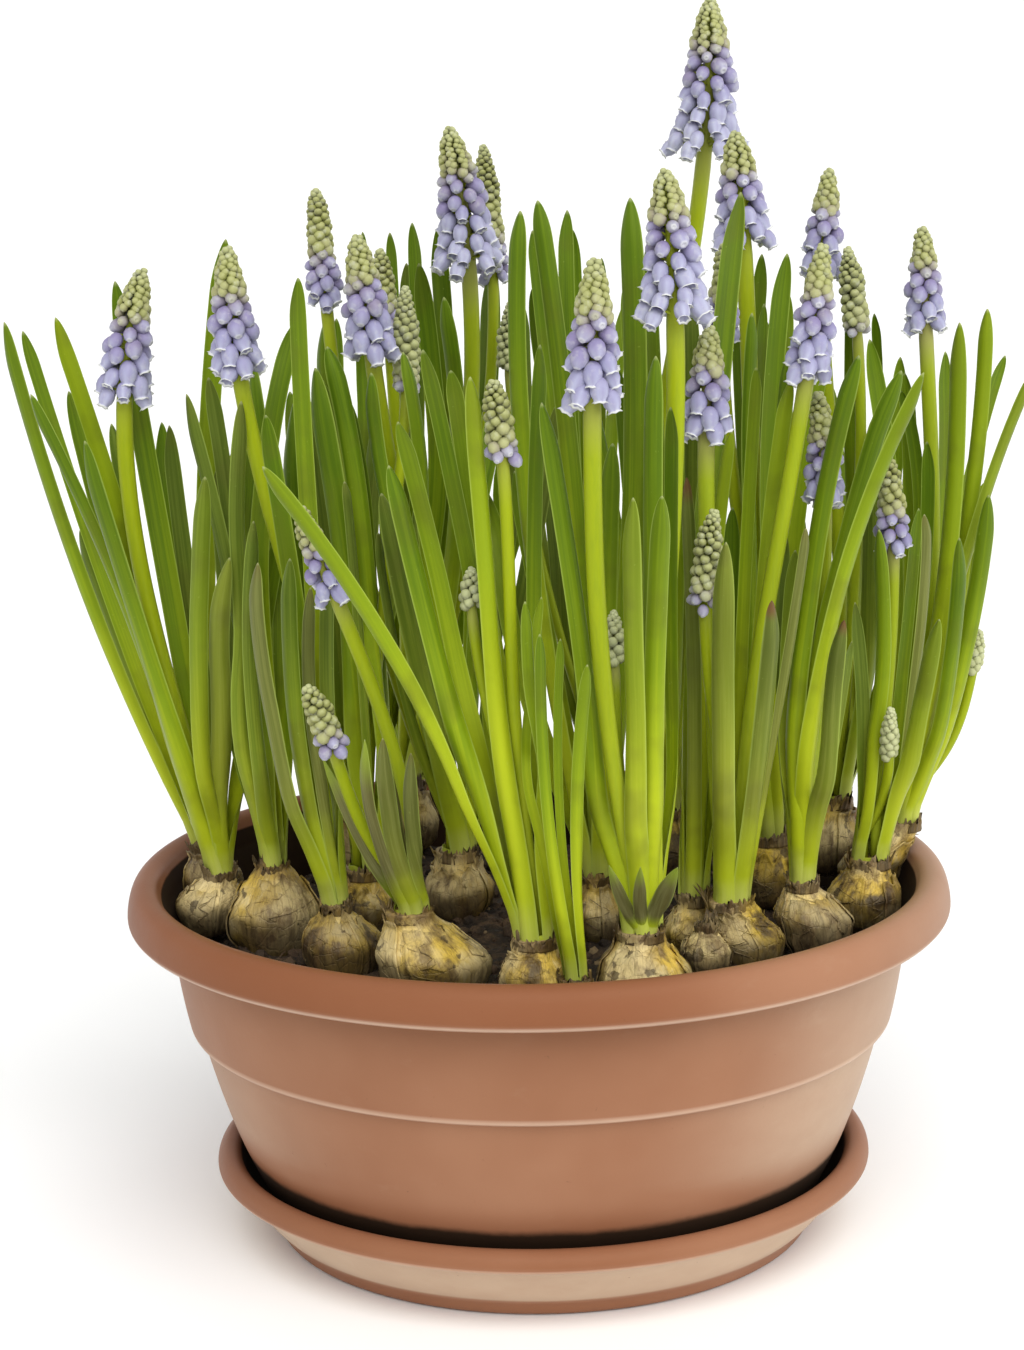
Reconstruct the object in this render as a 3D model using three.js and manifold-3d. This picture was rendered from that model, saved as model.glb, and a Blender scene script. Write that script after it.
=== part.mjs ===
// Potted grape hyacinths: a clump of flowering bulbs in a plastic flower pot that stands on its saucer.
// Millimetres, +Z up. The origin is the middle of the saucer's underside and -Y is the front.
import * as THREE from "three";
import { mergeVertices } from "three/addons/utils/BufferGeometryUtils.js";
import Module from "manifold-3d";

const wasm = await Module();
wasm.setup();

// ---------------------------------------------------------------- driving dimensions

const GAP = 0.3; // between neighbouring pieces
const ROUND_SIDES = 40; // facets round the pot and the saucer

const SAUCER = {
  baseRadius: 70,
  footRadius: 74,
  footHeight: 4,
  lipRadius: 88,
  lipHeight: 18,
  rimHeight: 23.2,
  floor: 4,
  floorRadius: 70,
  mouthRadius: 82.6,
};

const POT = {
  baseRadius: 69.5,
  waistRadius: 91,
  waistHeight: 57.8,
  bandRadius: 93.8,
  rimUnderside: 87,
  rimRadius: 109.3,
  rimCrest: 97.6,
  crestRadius: 104.6,
  mouthRadius: 100.6,
  skirt: 2.4,
  floor: 8,
  floorRadius: 66,
  wall: 2.8,
};
const DRAIN = { count: 5, radius: 5, ring: 38 };

const SOIL = { top: 84, shoulder: 82.5, edge: 75, shoulderRadius: 80 };

const LEAF = { keel: 0.36, baseWidth: 0.72 }; // both as shares of the blade's width
const STEM_RADIUS = 2.05;
const STEM_FOOT = 1.5; // stem radius inside the leaf sheath
const STEM_SIDES = 6;
const SHEATH = { wall: 1.1, height: 6 };
const BULB_SIDES = 9;

// Settling: how the blades of neighbouring plants make room for one another.
const STRAND_POINTS = 9;
const SETTLE = { rounds: 160, clearance: 1.5, leafShare: 0.46, sideways: 0.35, upDown: 0.15, firm: 2, free: 24 };

// ---------------------------------------------------------------- the plants
// bulb: middle x, y, z and radius. neck: x and z of the bulb's crown, above its middle's y.
// leaves: tip x, y, z; x and z half way up; blade width.
// stalks: tip x, y, z; x and z of the lowest bells; x and z half way up; half width over the bells.

const PLANTS = [
  {
    bulb: [-88, -2, 89, 8.5], neck: [-85, 98],
    leaves: [
      [-131, 8, 242, -110, 169, 3.3],
      [-127, -16, 228, -104, 166, 3.5],
      [-122, 0, 246, -102, 172, 4.3],
      [-113, -26, 217, -100, 158, 5.1],
      [-107, 12, 254, -95, 171, 5.0],
      [-96, 18, 215, -90, 159, 4.8],
      [-82, -30, 208, -86, 153, 4.4],
      [-77, -22, 186, -83, 141, 5.4],
      [-66, 4, 192, -75, 143, 4.8],
    ],
    stalks: [[-98, -8, 258, -104, 223, -99, 164, 8.1]],
  },
  {
    bulb: [-69.5, -14, 89, 12.2], neck: [-69.5, 102.5],
    leaves: [
      [-89, -4, 226, -76, 162, 4.3],
      [-83, 6, 229, -76, 172, 4.2],
      [-72, -20, 226, -76, 164, 4.4],
      [-79, 12, 209, -77, 161, 3.2],
      [-61, 16, 241, -71, 182, 4.7],
      [-70, -26, 196, -73, 150, 3.8],
      [-81, 10, 204, -78, 150, 4.7],
      [-68, 20, 210, -66, 154, 5.3],
    ],
    stalks: [],
  },
  {
    bulb: [-50.5, -39, 88, 9.8], neck: [-52, 99],
    leaves: [
      [-68, -59, 191, -66, 150, 5.0],
      [-60, -53, 191, -60, 146, 4.0],
      [-66, -39, 225, -59, 168, 4.5],
      [-55, -49, 183, -56, 143, 3.5],
      [-50, -43, 194, -52, 148, 4.0],
      [-58, -23, 257, -56, 187, 4.6],
    ],
    stalks: [],
  },
  {
    bulb: [-27, -57, 89, 13.2], neck: [-32.5, 102],
    leaves: [
      [-42, -79, 151, -40, 125, 3.9],
      [-37, -79, 151, -36, 125, 4.6],
      [-35, -55, 150, -35, 123, 3.2],
      [-31, -73, 146, -31, 123, 4.1],
      [-53, -47, 140, -44, 119, 3.8],
    ],
    stalks: [
      [-55, -73, 163, -49, 144, -41, 120, 4.6],
      [-56, -68, 206, -47, 181, -36, 147, 5.8],
    ],
  },
  {
    bulb: [-1, -70.5, 88, 9.4], neck: [-1.5, 98.5],
    leaves: [
      [-63, -88, 219, -30, 164, 3.6],
      [-25, -70, 244, -13, 174, 3.8],
      [-13, -86, 239, -10, 175, 4.3],
      [-19, -56, 237, -12, 182, 3.9],
      [-31, -76, 228, -19, 172, 4.2],
      [-33, -82, 218, -22, 165, 4.7],
      [-2, -88, 186, -1, 143, 3.1],
      [3, -66, 244, 0, 173, 3.9],
    ],
    stalks: [
      [-9, -82, 237, -7, 216, -6, 175, 4.4],
      [-15, -72, 191, -15, 179, -9, 144, 2.9],
    ],
  },
  {
    bulb: [8, -78, 83, 5.5], neck: [8, 90], daughter: true, // grown on to the bulb before it
    leaves: [
      [1, -92, 179, 2, 135, 2.6],
      [6, -86, 177, 5, 134, 2.1],
      [12, -90, 171, 9, 132, 2.8],
      [1, -80, 186, -1, 141, 2.4],
    ],
    stalks: [],
  },
  {
    bulb: [25, -71, 88, 11.7], neck: [24.5, 100],
    leaves: [
      [22, -95, 211, 23, 156, 5.0],
      [30, -87, 210, 28, 160, 4.5],
      [3, -81, 232, 13, 162, 4.5],
      [29, -69, 241, 28, 173, 4.6],
      [34, -61, 228, 32, 167, 3.6],
      [17, -88, 121, 20, 110, 3.8],
      [24, -91, 121, 24, 110, 4.0],
      [32, -89, 120, 29, 110, 5.2],
    ],
    stalks: [
      [15, -87, 265, 14, 229, 15, 175, 8.0],
      [19, -63, 178, 19, 163, 20, 135, 2.9],
      [33, -51, 283, 35, 245, 32, 181, 9.4],
    ],
  },
  {
    bulb: [53.5, -39, 88, 8.9], neck: [48.5, 98], bulblet: [42, -47, 87, 6.3],
    leaves: [
      [46, -61, 194, 46, 145, 5.7],
      [58, -65, 180, 56, 143, 5.2],
      [63, -43, 232, 57, 174, 4.5],
      [67, -53, 196, 62, 157, 3.0],
      [57, -29, 233, 53, 175, 3.3],
    ],
    stalks: [
      [71, -49, 264, 67, 230, 59, 182, 6.7],
      [44, -43, 244, 43, 216, 44, 166, 7.5],
      [44, -55, 201, 42, 174, 45, 142, 4.2],
    ],
  },
  {
    bulb: [70.5, -31, 90, 9.3], neck: [68, 100],
    leaves: [
      [79, -51, 238, 68, 173, 4.5],
      [91, -43, 233, 73, 172, 4.3],
      [95, -59, 234, 74, 170, 4.3],
      [75, -55, 173, 72, 139, 5.0],
      [66, -35, 188, 64, 146, 4.3],
      [64, -23, 190, 63, 145, 3.3],
      [80, -29, 163, 76, 137, 2.6],
    ],
    stalks: [[71, -39, 227, 73, 197, 72, 164, 6.0]],
  },
  {
    bulb: [86, -14, 91, 9.4], neck: [87, 101],
    leaves: [
      [101, -36, 169, 97, 137, 4.6],
      [87, -28, 191, 89, 145, 3.6],
      [100, -24, 194, 99, 158, 3.6],
      [99, -12, 194, 95, 149, 3.1],
      [103, -4, 210, 100, 159, 3.6],
      [82, -18, 171, 85, 134, 3.6],
      [88, 2, 236, 94, 169, 4.2],
    ],
    stalks: [
      [90, -22, 209, 92, 182, 91, 147, 5.1],
      [91, -26, 144, 91, 131, 90, 119, 2.6],
    ],
  },
  {
    bulb: [89.5, 9, 93, 8], neck: [98, 105],
    leaves: [
      [109, -11, 241, 108, 170, 4.5],
      [117, -7, 244, 113, 177, 3.7],
      [127, 29, 228, 112, 176, 3.3],
      [129, -7, 227, 111, 169, 3.1],
      [122, 25, 194, 114, 154, 3.9],
      [123, 35, 173, 114, 142, 3.8],
      [110, -15, 186, 108, 141, 3.9],
      [100, 29, 219, 104, 175, 3.2],
      [104, 39, 207, 100, 158, 4.3],
      [110, 23, 230, 108, 170, 4.0],
      [103, 42, 222, 102, 168, 4.4],
      [118, -9, 196, 113, 151, 4.2],
    ],
    stalks: [
      [103, 11, 263, 104, 235, 106, 176, 6.4],
      [119, 11, 156, 117, 146, 109, 123, 2.7],
    ],
  },
  {
    bulb: [62, 8, 91, 8.5], neck: [62.5, 102],
    leaves: [
      [63, 30, 256, 59, 182, 3.7],
      [67, 10, 258, 62, 183, 5.0],
      [58, -6, 244, 57, 178, 4.0],
      [62, 20, 244, 61, 177, 2.9],
      [66, -14, 236, 63, 173, 3.7],
      [69, 26, 246, 67, 176, 3.5],
      [79, 18, 236, 69, 177, 4.6],
      [57, 34, 236, 59, 175, 4.3],
    ],
    stalks: [
      [55, 18, 288, 57, 257, 59, 193, 8.6],
      [51, -2, 261, 50, 234, 55, 184, 5.3],
      [54, -10, 139, 55, 127, 58, 116, 2.4],
    ],
  },
  {
    bulb: [-47, -9, 90, 8.2], neck: [-46, 99.5],
    leaves: [
      [-55, -13, 233, -47, 167, 5.7],
      [-53, -1, 229, -48, 172, 3.9],
      [-51, -7, 238, -43, 182, 4.9],
      [-47, -21, 205, -45, 163, 2.6],
      [-48, 3, 226, -41, 171, 4.2],
      [-59, 9, 225, -53, 171, 3.7],
    ],
    stalks: [
      [-75, -19, 264, -73, 230, -60, 168, 7.7],
      [-32, 5, 251, -33, 222, -39, 171, 3.9],
    ],
  },
  {
    bulb: [-21.5, 5, 90, 8.8], neck: [-21.5, 100],
    leaves: [
      [-41, -9, 231, -34, 170, 4.2],
      [-37, -25, 202, -30, 156, 5.7],
      [-33, -1, 236, -27, 175, 3.7],
      [-39, -17, 191, -35, 150, 2.6],
      [-4, 22, 205, -12, 152, 4.4],
      [-12, -12, 190, -16, 150, 4.0],
      [-8, 25, 222, -14, 162, 4.8],
      [8, 34, 216, -5, 154, 4.8],
    ],
    stalks: [
      [-54, 9, 276, -52, 245, -44, 180, 5.1],
      [-43, -3, 265, -39, 232, -31, 175, 7.9],
    ],
  },
  {
    bulb: [16, -16, 88, 7.8], neck: [15.5, 98],
    leaves: [
      [26, -4, 274, 26, 192, 5.7],
      [3, -8, 274, 11, 198, 4.4],
      [10, 10, 270, 11, 191, 4.5],
      [-2, -16, 272, -1, 193, 4.4],
      [20, -34, 215, 18, 160, 4.6],
      [-5, 4, 203, 4, 155, 4.9],
      [-13, 22, 196, -2, 146, 4.6],
    ],
    stalks: [],
  },
  {
    bulb: [39.5, -29, 87, 7.2], neck: [40, 96],
    leaves: [
      [38, -39, 207, 40, 152, 3.8],
      [50, -27, 217, 44, 164, 3.3],
      [45, -17, 216, 40, 158, 3.6],
      [51, -23, 197, 48, 148, 4.1],
      [53, -5, 275, 44, 188, 6.6],
    ],
    stalks: [],
  },
  {
    bulb: [80, 34, 93, 9.2], neck: [82, 105],
    leaves: [
      [87, 30, 250, 87, 184, 3.6],
      [94, 38, 239, 94, 177, 2.7],
      [75, 40, 251, 80, 183, 3.8],
      [104, 62, 224, 97, 165, 4.4],
      [112, 44, 196, 101, 150, 4.6],
      [84, 66, 216, 86, 162, 4.8],
      [91, 22, 212, 91, 162, 4.9],
      [64, 52, 240, 74, 176, 4.6],
    ],
    stalks: [
      [81, 34, 277, 79, 248, 84, 178, 6.6],
      [85, 26, 257, 88, 232, 88, 173, 4.0],
    ],
  },
  {
    bulb: [20, 82, 91, 9.8], neck: [19, 103],
    leaves: [
      [3, 96, 242, 9, 177, 5.2],
      [14, 96, 239, 13, 176, 4.1],
      [2, 90, 259, 8, 188, 3.2],
      [14, 104, 258, 15, 187, 3.8],
      [23, 110, 249, 21, 181, 2.8],
      [28, 94, 238, 22, 176, 4.1],
      [-12, 116, 206, 2, 160, 4.8],
      [8, 116, 178, 13, 146, 4.6],
      [6, 88, 202, 10, 147, 5.2],
      [36, 98, 229, 30, 169, 5.2],
      [0, 112, 237, 3, 172, 4.4],
    ],
    stalks: [
      [52, 72, 322, 50, 277, 36, 197, 10.4],
      [-5, 68, 240, -5, 220, 3, 165, 3.4],
    ],
  },
  {
    bulb: [-88, 15, 91, 7.6], neck: [-90, 100.5],
    leaves: [
      [-137, 9, 244, -118, 169, 4.4],
      [-81, 41, 262, -88, 183, 5.2],
      [-112, 34, 214, -103, 160, 4.4],
      [-122, 26, 186, -108, 146, 4.2],
      [-75, 35, 211, -81, 156, 4.6],
      [-101, 46, 212, -96, 158, 4.8],
      [-124, 40, 222, -109, 162, 4.6],
    ],
    stalks: [],
  },
  {
    bulb: [-38, 72, 91, 9.4], neck: [-37, 103],
    leaves: [
      [-31, 88, 262, -32, 185, 4.0],
      [-25, 80, 261, -25, 185, 5.2],
      [-30, 72, 252, -28, 183, 5.1],
      [-23, 50, 244, -21, 180, 4.5],
      [-10, 82, 251, -16, 178, 6.2],
      [-38, 92, 259, -37, 184, 2.9],
      [-46, 84, 260, -42, 184, 2.8],
      [-2, 74, 217, -9, 161, 4.3],
      [-34, 94, 250, -35, 184, 4.1],
      [14, 98, 232, -9, 160, 4.6],
    ],
    stalks: [
      [-20, 58, 289, -15, 248, -19, 186, 9.8],
      [-11, 80, 283, -9, 244, -14, 190, 4.6],
      [-40, 60, 256, -38, 226, -36, 180, 5.1],
    ],
  },
  {
    bulb: [-53, 37, 91, 9.8], neck: [-53, 103],
    leaves: [
      [-76, 49, 228, -68, 168, 4.8],
      [-67, 75, 216, -61, 162, 4.6],
      [-42, 65, 244, -47, 176, 4.4],
      [-55, 39, 240, -55, 174, 4.6],
      [-82, 67, 186, -70, 148, 4.8],
      [-32, 75, 198, -41, 154, 4.4],
      [-65, 47, 217, -65, 149, 5.5],
      [-41, 51, 216, -47, 156, 5.0],
      [-53, 61, 238, -53, 173, 4.5],
    ],
    stalks: [],
  },
  {
    bulb: [35, 33, 91, 9.4], neck: [36, 103],
    leaves: [
      [28, 57, 246, 31, 176, 4.8],
      [53, 63, 226, 46, 166, 4.6],
      [14, 45, 232, 25, 172, 4.4],
      [39, 31, 250, 39, 178, 4.6],
      [62, 49, 196, 51, 152, 4.8],
      [10, 69, 196, 21, 154, 4.4],
      [44, 41, 243, 43, 178, 5.0],
      [26, 63, 222, 30, 166, 4.7],
      [33, 54, 258, 35, 184, 4.6],
    ],
    stalks: [],
  },
];

const COLOURS = {
  pot: "#a96f52",
  saucer: "#b07a5c",
  soil: "#2b211b",
  bulb: "#b39a63",
  leaf: "#5f8a1f",
  stalk: "#9a9bc4",
};

// ---------------------------------------------------------------- geometry helpers

function solidOf(geometry) {
  const bare = new THREE.BufferGeometry();
  bare.setAttribute("position", geometry.getAttribute("position"));
  bare.setIndex(geometry.index);
  const merged = mergeVertices(bare, 1e-4);
  return new wasm.Manifold(
    new wasm.Mesh({
      numProp: 3,
      vertProperties: Float32Array.from(merged.attributes.position.array),
      triVerts: Uint32Array.from(merged.index.array),
    }),
  );
}

function geometryOf(solid) {
  const mesh = solid.getMesh();
  const geometry = new THREE.BufferGeometry();
  geometry.setAttribute("position", new THREE.BufferAttribute(mesh.vertProperties, 3));
  geometry.setIndex(new THREE.BufferAttribute(mesh.triVerts, 1));
  const faceted = geometry.toNonIndexed();
  faceted.computeVertexNormals();
  return faceted;
}

function joined(solids) {
  return solids.reduce((whole, piece) => whole.add(piece));
}

// Three.js lathes turn about +Y; this one turns about +Z.
function lathe(profile, sides) {
  return new THREE.LatheGeometry(profile, sides).rotateX(Math.PI / 2);
}

// Skins a row of rings, each the same number of points, into a closed geometry with both ends capped.
function skin(rings) {
  const sides = rings[0].length;
  const positions = rings.flat().flatMap((p) => [p.x, p.y, p.z]);
  const faces = [];
  rings.slice(1).forEach((_, k) => {
    for (let i = 0; i < sides; i++) {
      const a = k * sides + i;
      const b = k * sides + ((i + 1) % sides);
      faces.push(a, b, b + sides, a, b + sides, a + sides);
    }
  });
  const last = (rings.length - 1) * sides;
  for (let i = 1; i < sides - 1; i++) {
    faces.push(0, i + 1, i, last, last + i, last + i + 1);
  }
  const geometry = new THREE.BufferGeometry();
  geometry.setAttribute("position", new THREE.Float32BufferAttribute(positions, 3));
  geometry.setIndex(faces);
  return geometry;
}

// ---------------------------------------------------------------- pot, saucer and soil

function potProfile() {
  const p = POT;
  const outline = new THREE.Path();
  outline.moveTo(0, SAUCER.floor + GAP);
  outline.lineTo(p.baseRadius, SAUCER.floor + GAP);
  outline.bezierCurveTo(82, 22, 86, 40, p.waistRadius, p.waistHeight);
  outline.lineTo(p.bandRadius, p.waistHeight + 1.2);
  outline.quadraticCurveTo(96.6, 68, 98.2, p.rimUnderside);
  outline.lineTo(99, 91.5);
  outline.lineTo(p.rimRadius - p.skirt - 0.6, 92);
  outline.lineTo(p.rimRadius - p.skirt, p.rimUnderside);
  outline.lineTo(p.rimRadius - 1, p.rimUnderside);
  outline.lineTo(p.rimRadius, p.rimUnderside + 1.2);
  outline.quadraticCurveTo(109.2, 97, p.crestRadius, p.rimCrest);
  outline.quadraticCurveTo(101.4, 97.4, p.mouthRadius, 94);
  outline.quadraticCurveTo(95.6, 88, 94, 68);
  outline.lineTo(p.waistRadius - p.wall, p.waistHeight);
  outline.quadraticCurveTo(82, 33, p.floorRadius + 4, p.floor + 5);
  outline.lineTo(p.floorRadius, p.floor);
  outline.lineTo(0, p.floor);
  return outline.getPoints(3);
}

function makePot() {
  const drain = new THREE.CylinderGeometry(DRAIN.radius, DRAIN.radius, 12, 12).rotateX(Math.PI / 2);
  const holes = Array.from({ length: DRAIN.count }, (_, k) => {
    const turn = (2 * Math.PI * k) / DRAIN.count;
    return solidOf(drain.clone().translate(DRAIN.ring * Math.cos(turn), DRAIN.ring * Math.sin(turn), POT.floor - 2));
  });
  return holes.reduce((pot, hole) => pot.subtract(hole), solidOf(lathe(potProfile(), ROUND_SIDES)));
}

function saucerProfile() {
  const s = SAUCER;
  const outline = new THREE.Path();
  outline.moveTo(0, 0);
  outline.lineTo(s.baseRadius, 0);
  outline.lineTo(s.footRadius - 1.6, 0.8);
  outline.lineTo(s.footRadius, s.footHeight);
  outline.quadraticCurveTo(78.5, 8.5, 83, 15.5);
  outline.lineTo(s.lipRadius - 0.8, s.lipHeight - 0.6);
  outline.lineTo(s.lipRadius, s.lipHeight + 0.4);
  outline.quadraticCurveTo(87.8, s.rimHeight, 84.6, s.rimHeight);
  outline.lineTo(s.mouthRadius, s.rimHeight - 1);
  outline.lineTo(81.2, 16.5);
  outline.quadraticCurveTo(76.6, 9.4, s.floorRadius + 2, s.floor + 1);
  outline.lineTo(s.floorRadius, s.floor);
  outline.lineTo(0, s.floor);
  return outline.getPoints(3);
}

function soilProfile() {
  const inside = POT.wall + GAP;
  const floor = POT.floor + GAP;
  return [
    [0, floor],
    [POT.floorRadius - 1, floor],
    [POT.floorRadius + 3, POT.floor + 6],
    [78.6, 33],
    [POT.waistRadius - inside - 0.8, POT.waistHeight],
    [92.6, SOIL.edge - 4],
    [92.4, SOIL.edge],
    [SOIL.shoulderRadius, SOIL.shoulder],
    [40, SOIL.top - 0.4],
    [0, SOIL.top],
  ].map(([r, z]) => new THREE.Vector2(r, z));
}

// ---------------------------------------------------------------- bulbs

// Radius of the ring on which a plant's stems stand, and of the hole that its leaf sheath leaves for them.
function stemRing(plant) {
  return [0, 0, STEM_FOOT + 0.05, STEM_FOOT / Math.sin(Math.PI / 3) + 0.05][plant.stalks.length];
}

function sheathHole(plant) {
  return stemRing(plant) + STEM_FOOT + 0.45;
}

function neckRadius(plant) {
  return sheathHole(plant) + SHEATH.wall + 0.3;
}

function neckPoint(plant) {
  return new THREE.Vector3(plant.neck[0], plant.bulb[1], plant.neck[1]);
}

// A turnip-shaped body of level rings that leans to its crown. swell grows it, to cut its seat in the soil.
function bulbSolid([x, y, z, radius], crown, crownRadius, swell = 0) {
  const height = crown.z - z;
  const r = radius + swell;
  const rings = [
    [0.5 * r, -0.92 * r],
    [0.9 * r, -0.45 * r],
    [r, 0],
    [0.9 * r, 0.38 * r],
    [Math.max(0.55 * r, crownRadius + 0.4), 0.74 * height + swell],
    [crownRadius + swell, height + swell],
  ].map(([across, up]) => {
    const lean = Math.max(up, 0) / height;
    return Array.from({ length: BULB_SIDES }, (_, i) => {
      const turn = (2 * Math.PI * i) / BULB_SIDES;
      const middle = new THREE.Vector3(x, y, z).lerp(new THREE.Vector3(crown.x, crown.y, z), lean);
      return middle.add(new THREE.Vector3(across * Math.cos(turn), across * Math.sin(turn), up));
    });
  });
  return facedOut(skin(rings));
}

function makeBulb(plant, swell = 0) {
  const body = bulbSolid(plant.bulb, neckPoint(plant), neckRadius(plant), swell);
  if (!plant.bulblet) return body;
  const [x, y, z, radius] = plant.bulblet;
  return body.add(bulbSolid(plant.bulblet, new THREE.Vector3(x, y, z + radius), 1.8, swell));
}

// ---------------------------------------------------------------- strands: the centre lines of blades and stems

// Where the middle of a plant is half way up: among its stems, or among its blades when it has none.
function plantHeart(plant) {
  const neck = neckPoint(plant);
  const rows = plant.stalks.length
    ? plant.stalks.map(([, tipY, , , , midX]) => [midX, neck.y + 0.45 * (tipY - neck.y)])
    : plant.leaves.map(([, tipY, , midX]) => [midX, neck.y + 0.45 * (tipY - neck.y)]);
  const [x, y] = [0, 1].map((axis) => rows.reduce((sum, row) => sum + row[axis], 0) / rows.length);
  return new THREE.Vector2(x, y);
}

function leafStrand(plant, row, index) {
  const [tipX, tipY, tipZ, midX, midZ, width] = row;
  const neck = neckPoint(plant);
  const depth = tipY - neck.y;
  const mid = new THREE.Vector3(midX, neck.y + 0.45 * depth, midZ);
  const tip = new THREE.Vector3(tipX, tipY, tipZ);
  const heart = plantHeart(plant);
  const away = Math.atan2(mid.y - heart.y + Math.sin(2.4 * index), mid.x - heart.x + Math.cos(2.4 * index));
  const ring = sheathHole(plant) + SHEATH.wall - 0.3;
  const foot = new THREE.Vector3(neck.x + ring * Math.cos(away), neck.y + ring * Math.sin(away), neck.z + 2.2);
  const bend = mid.clone().multiplyScalar(2).sub(foot.clone().add(tip).multiplyScalar(0.5));
  const curve = new THREE.QuadraticBezierCurve3(foot, bend, tip);
  const points = curve.getPoints(STRAND_POINTS - 1);
  const radii = points.map(() => SETTLE.leafShare * width);
  return { plant, kind: "leaf", points, radii, give: 1, width, away };
}

// A stem is the smooth line by height through its foot, its middle, its lowest bells and its tip.
function stalkStrand(plant, row, index) {
  const [tipX, tipY, tipZ, bellsX, bellsZ, midX, midZ, halfWidth] = row;
  const neck = neckPoint(plant);
  const order = plant.stalks.map((other) => other[5]).sort((a, b) => b - a);
  const turn = (2 * Math.PI * order.indexOf(midX)) / plant.stalks.length;
  const ring = stemRing(plant);
  const foot = new THREE.Vector3(neck.x + ring * Math.cos(turn), neck.y + ring * Math.sin(turn), neck.z + SHEATH.height + 1);
  const heights = [foot.z, midZ, bellsZ, tipZ];
  const across = [foot.x, midX, bellsX, tipX];
  const points = [];
  for (let k = 0; k < STRAND_POINTS; k++) {
    const share = k / (STRAND_POINTS - 1);
    const z = foot.z + share * (tipZ - foot.z);
    let x = 0;
    for (let i = 0; i < 4; i++) {
      let weight = across[i];
      for (let j = 0; j < 4; j++) {
        if (j !== i) weight *= (z - heights[j]) / (heights[i] - heights[j]);
      }
      x += weight;
    }
    points.push(new THREE.Vector3(x, foot.y + (tipY - foot.y) * (0.8 * share + 0.2 * share * share), z));
  }
  const radii = points.map((p) => (p.z < bellsZ - 4 ? STEM_RADIUS : halfWidth * 0.92));
  return { plant, kind: "stalk", points, radii, give: 0.12, halfWidth, bellsZ };
}

// The closest points of two segments, as shares along each.
function closest(a, b, c, d) {
  const u = b.clone().sub(a);
  const v = d.clone().sub(c);
  const w = a.clone().sub(c);
  const uu = u.dot(u);
  const uv = u.dot(v);
  const vv = v.dot(v);
  const uw = u.dot(w);
  const vw = v.dot(w);
  const flat = uu * vv - uv * uv;
  let s = flat > 1e-9 ? THREE.MathUtils.clamp((uv * vw - vv * uw) / flat, 0, 1) : 0.5;
  const t = THREE.MathUtils.clamp((uv * s + vw) / vv, 0, 1);
  s = THREE.MathUtils.clamp((uv * t - uw) / uu, 0, 1);
  return [s, t];
}

// Neighbouring strands that come too close push each other apart, mostly in depth, until all are clear.
function settle(strands) {
  const segments = strands.flatMap((strand, s) =>
    strand.points.slice(1).map((_, k) => ({ strand, s, k })),
  );
  const near = [];
  segments.forEach((one, i) => {
    for (const two of segments.slice(i + 1)) {
      if (one.s === two.s) continue;
      const kin = one.strand.plant === two.strand.plant;
      const from = one.strand.points[one.k].distanceTo(two.strand.points[two.k]);
      if (from < 48) near.push([one, two, kin]);
    }
  });
  for (let round = 0; round < SETTLE.rounds; round++) {
    const moves = strands.map((strand) => strand.points.map(() => new THREE.Vector3()));
    for (const [one, two, kin] of near) {
      const [a, b] = [one.strand.points[one.k], one.strand.points[one.k + 1]];
      const [c, d] = [two.strand.points[two.k], two.strand.points[two.k + 1]];
      const [s, t] = closest(a, b, c, d);
      const here = a.clone().lerp(b, s);
      if (kin && here.z - neckPoint(one.strand.plant).z < SETTLE.free) continue;
      const apart = here.sub(c.clone().lerp(d, t));
      const reach = (kin ? 0.85 : 1) * (one.strand.radii[one.k + Math.round(s)] + two.strand.radii[two.k + Math.round(t)]) + SETTLE.clearance;
      const distance = apart.length();
      if (distance >= reach) continue;
      const side = apart.y >= 0 ? 1 : -1;
      const push = new THREE.Vector3(SETTLE.sideways * apart.x, apart.y + 0.3 * side, SETTLE.upDown * apart.z);
      push.setLength(0.5 * (reach - distance));
      const sum = one.strand.give + two.strand.give;
      const first = push.clone().multiplyScalar(one.strand.give / sum);
      const second = push.clone().multiplyScalar(-two.strand.give / sum);
      moves[one.s][one.k].addScaledVector(first, 1 - s);
      moves[one.s][one.k + 1].addScaledVector(first, s);
      moves[two.s][two.k].addScaledVector(second, 1 - t);
      moves[two.s][two.k + 1].addScaledVector(second, t);
    }
    strands.forEach((strand, i) => {
      const own = moves[i];
      strand.points.forEach((point, k) => {
        if (k === 0) return;
        const hold = THREE.MathUtils.smoothstep(point.z - strand.points[0].z, SETTLE.firm, SETTLE.free);
        const before = own[k - 1];
        const after = own[Math.min(k + 1, STRAND_POINTS - 1)];
        point.addScaledVector(own[k], 0.5 * hold);
        point.addScaledVector(before, 0.2 * hold);
        point.addScaledVector(after, 0.2 * hold);
      });
    });
  }
}

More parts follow.
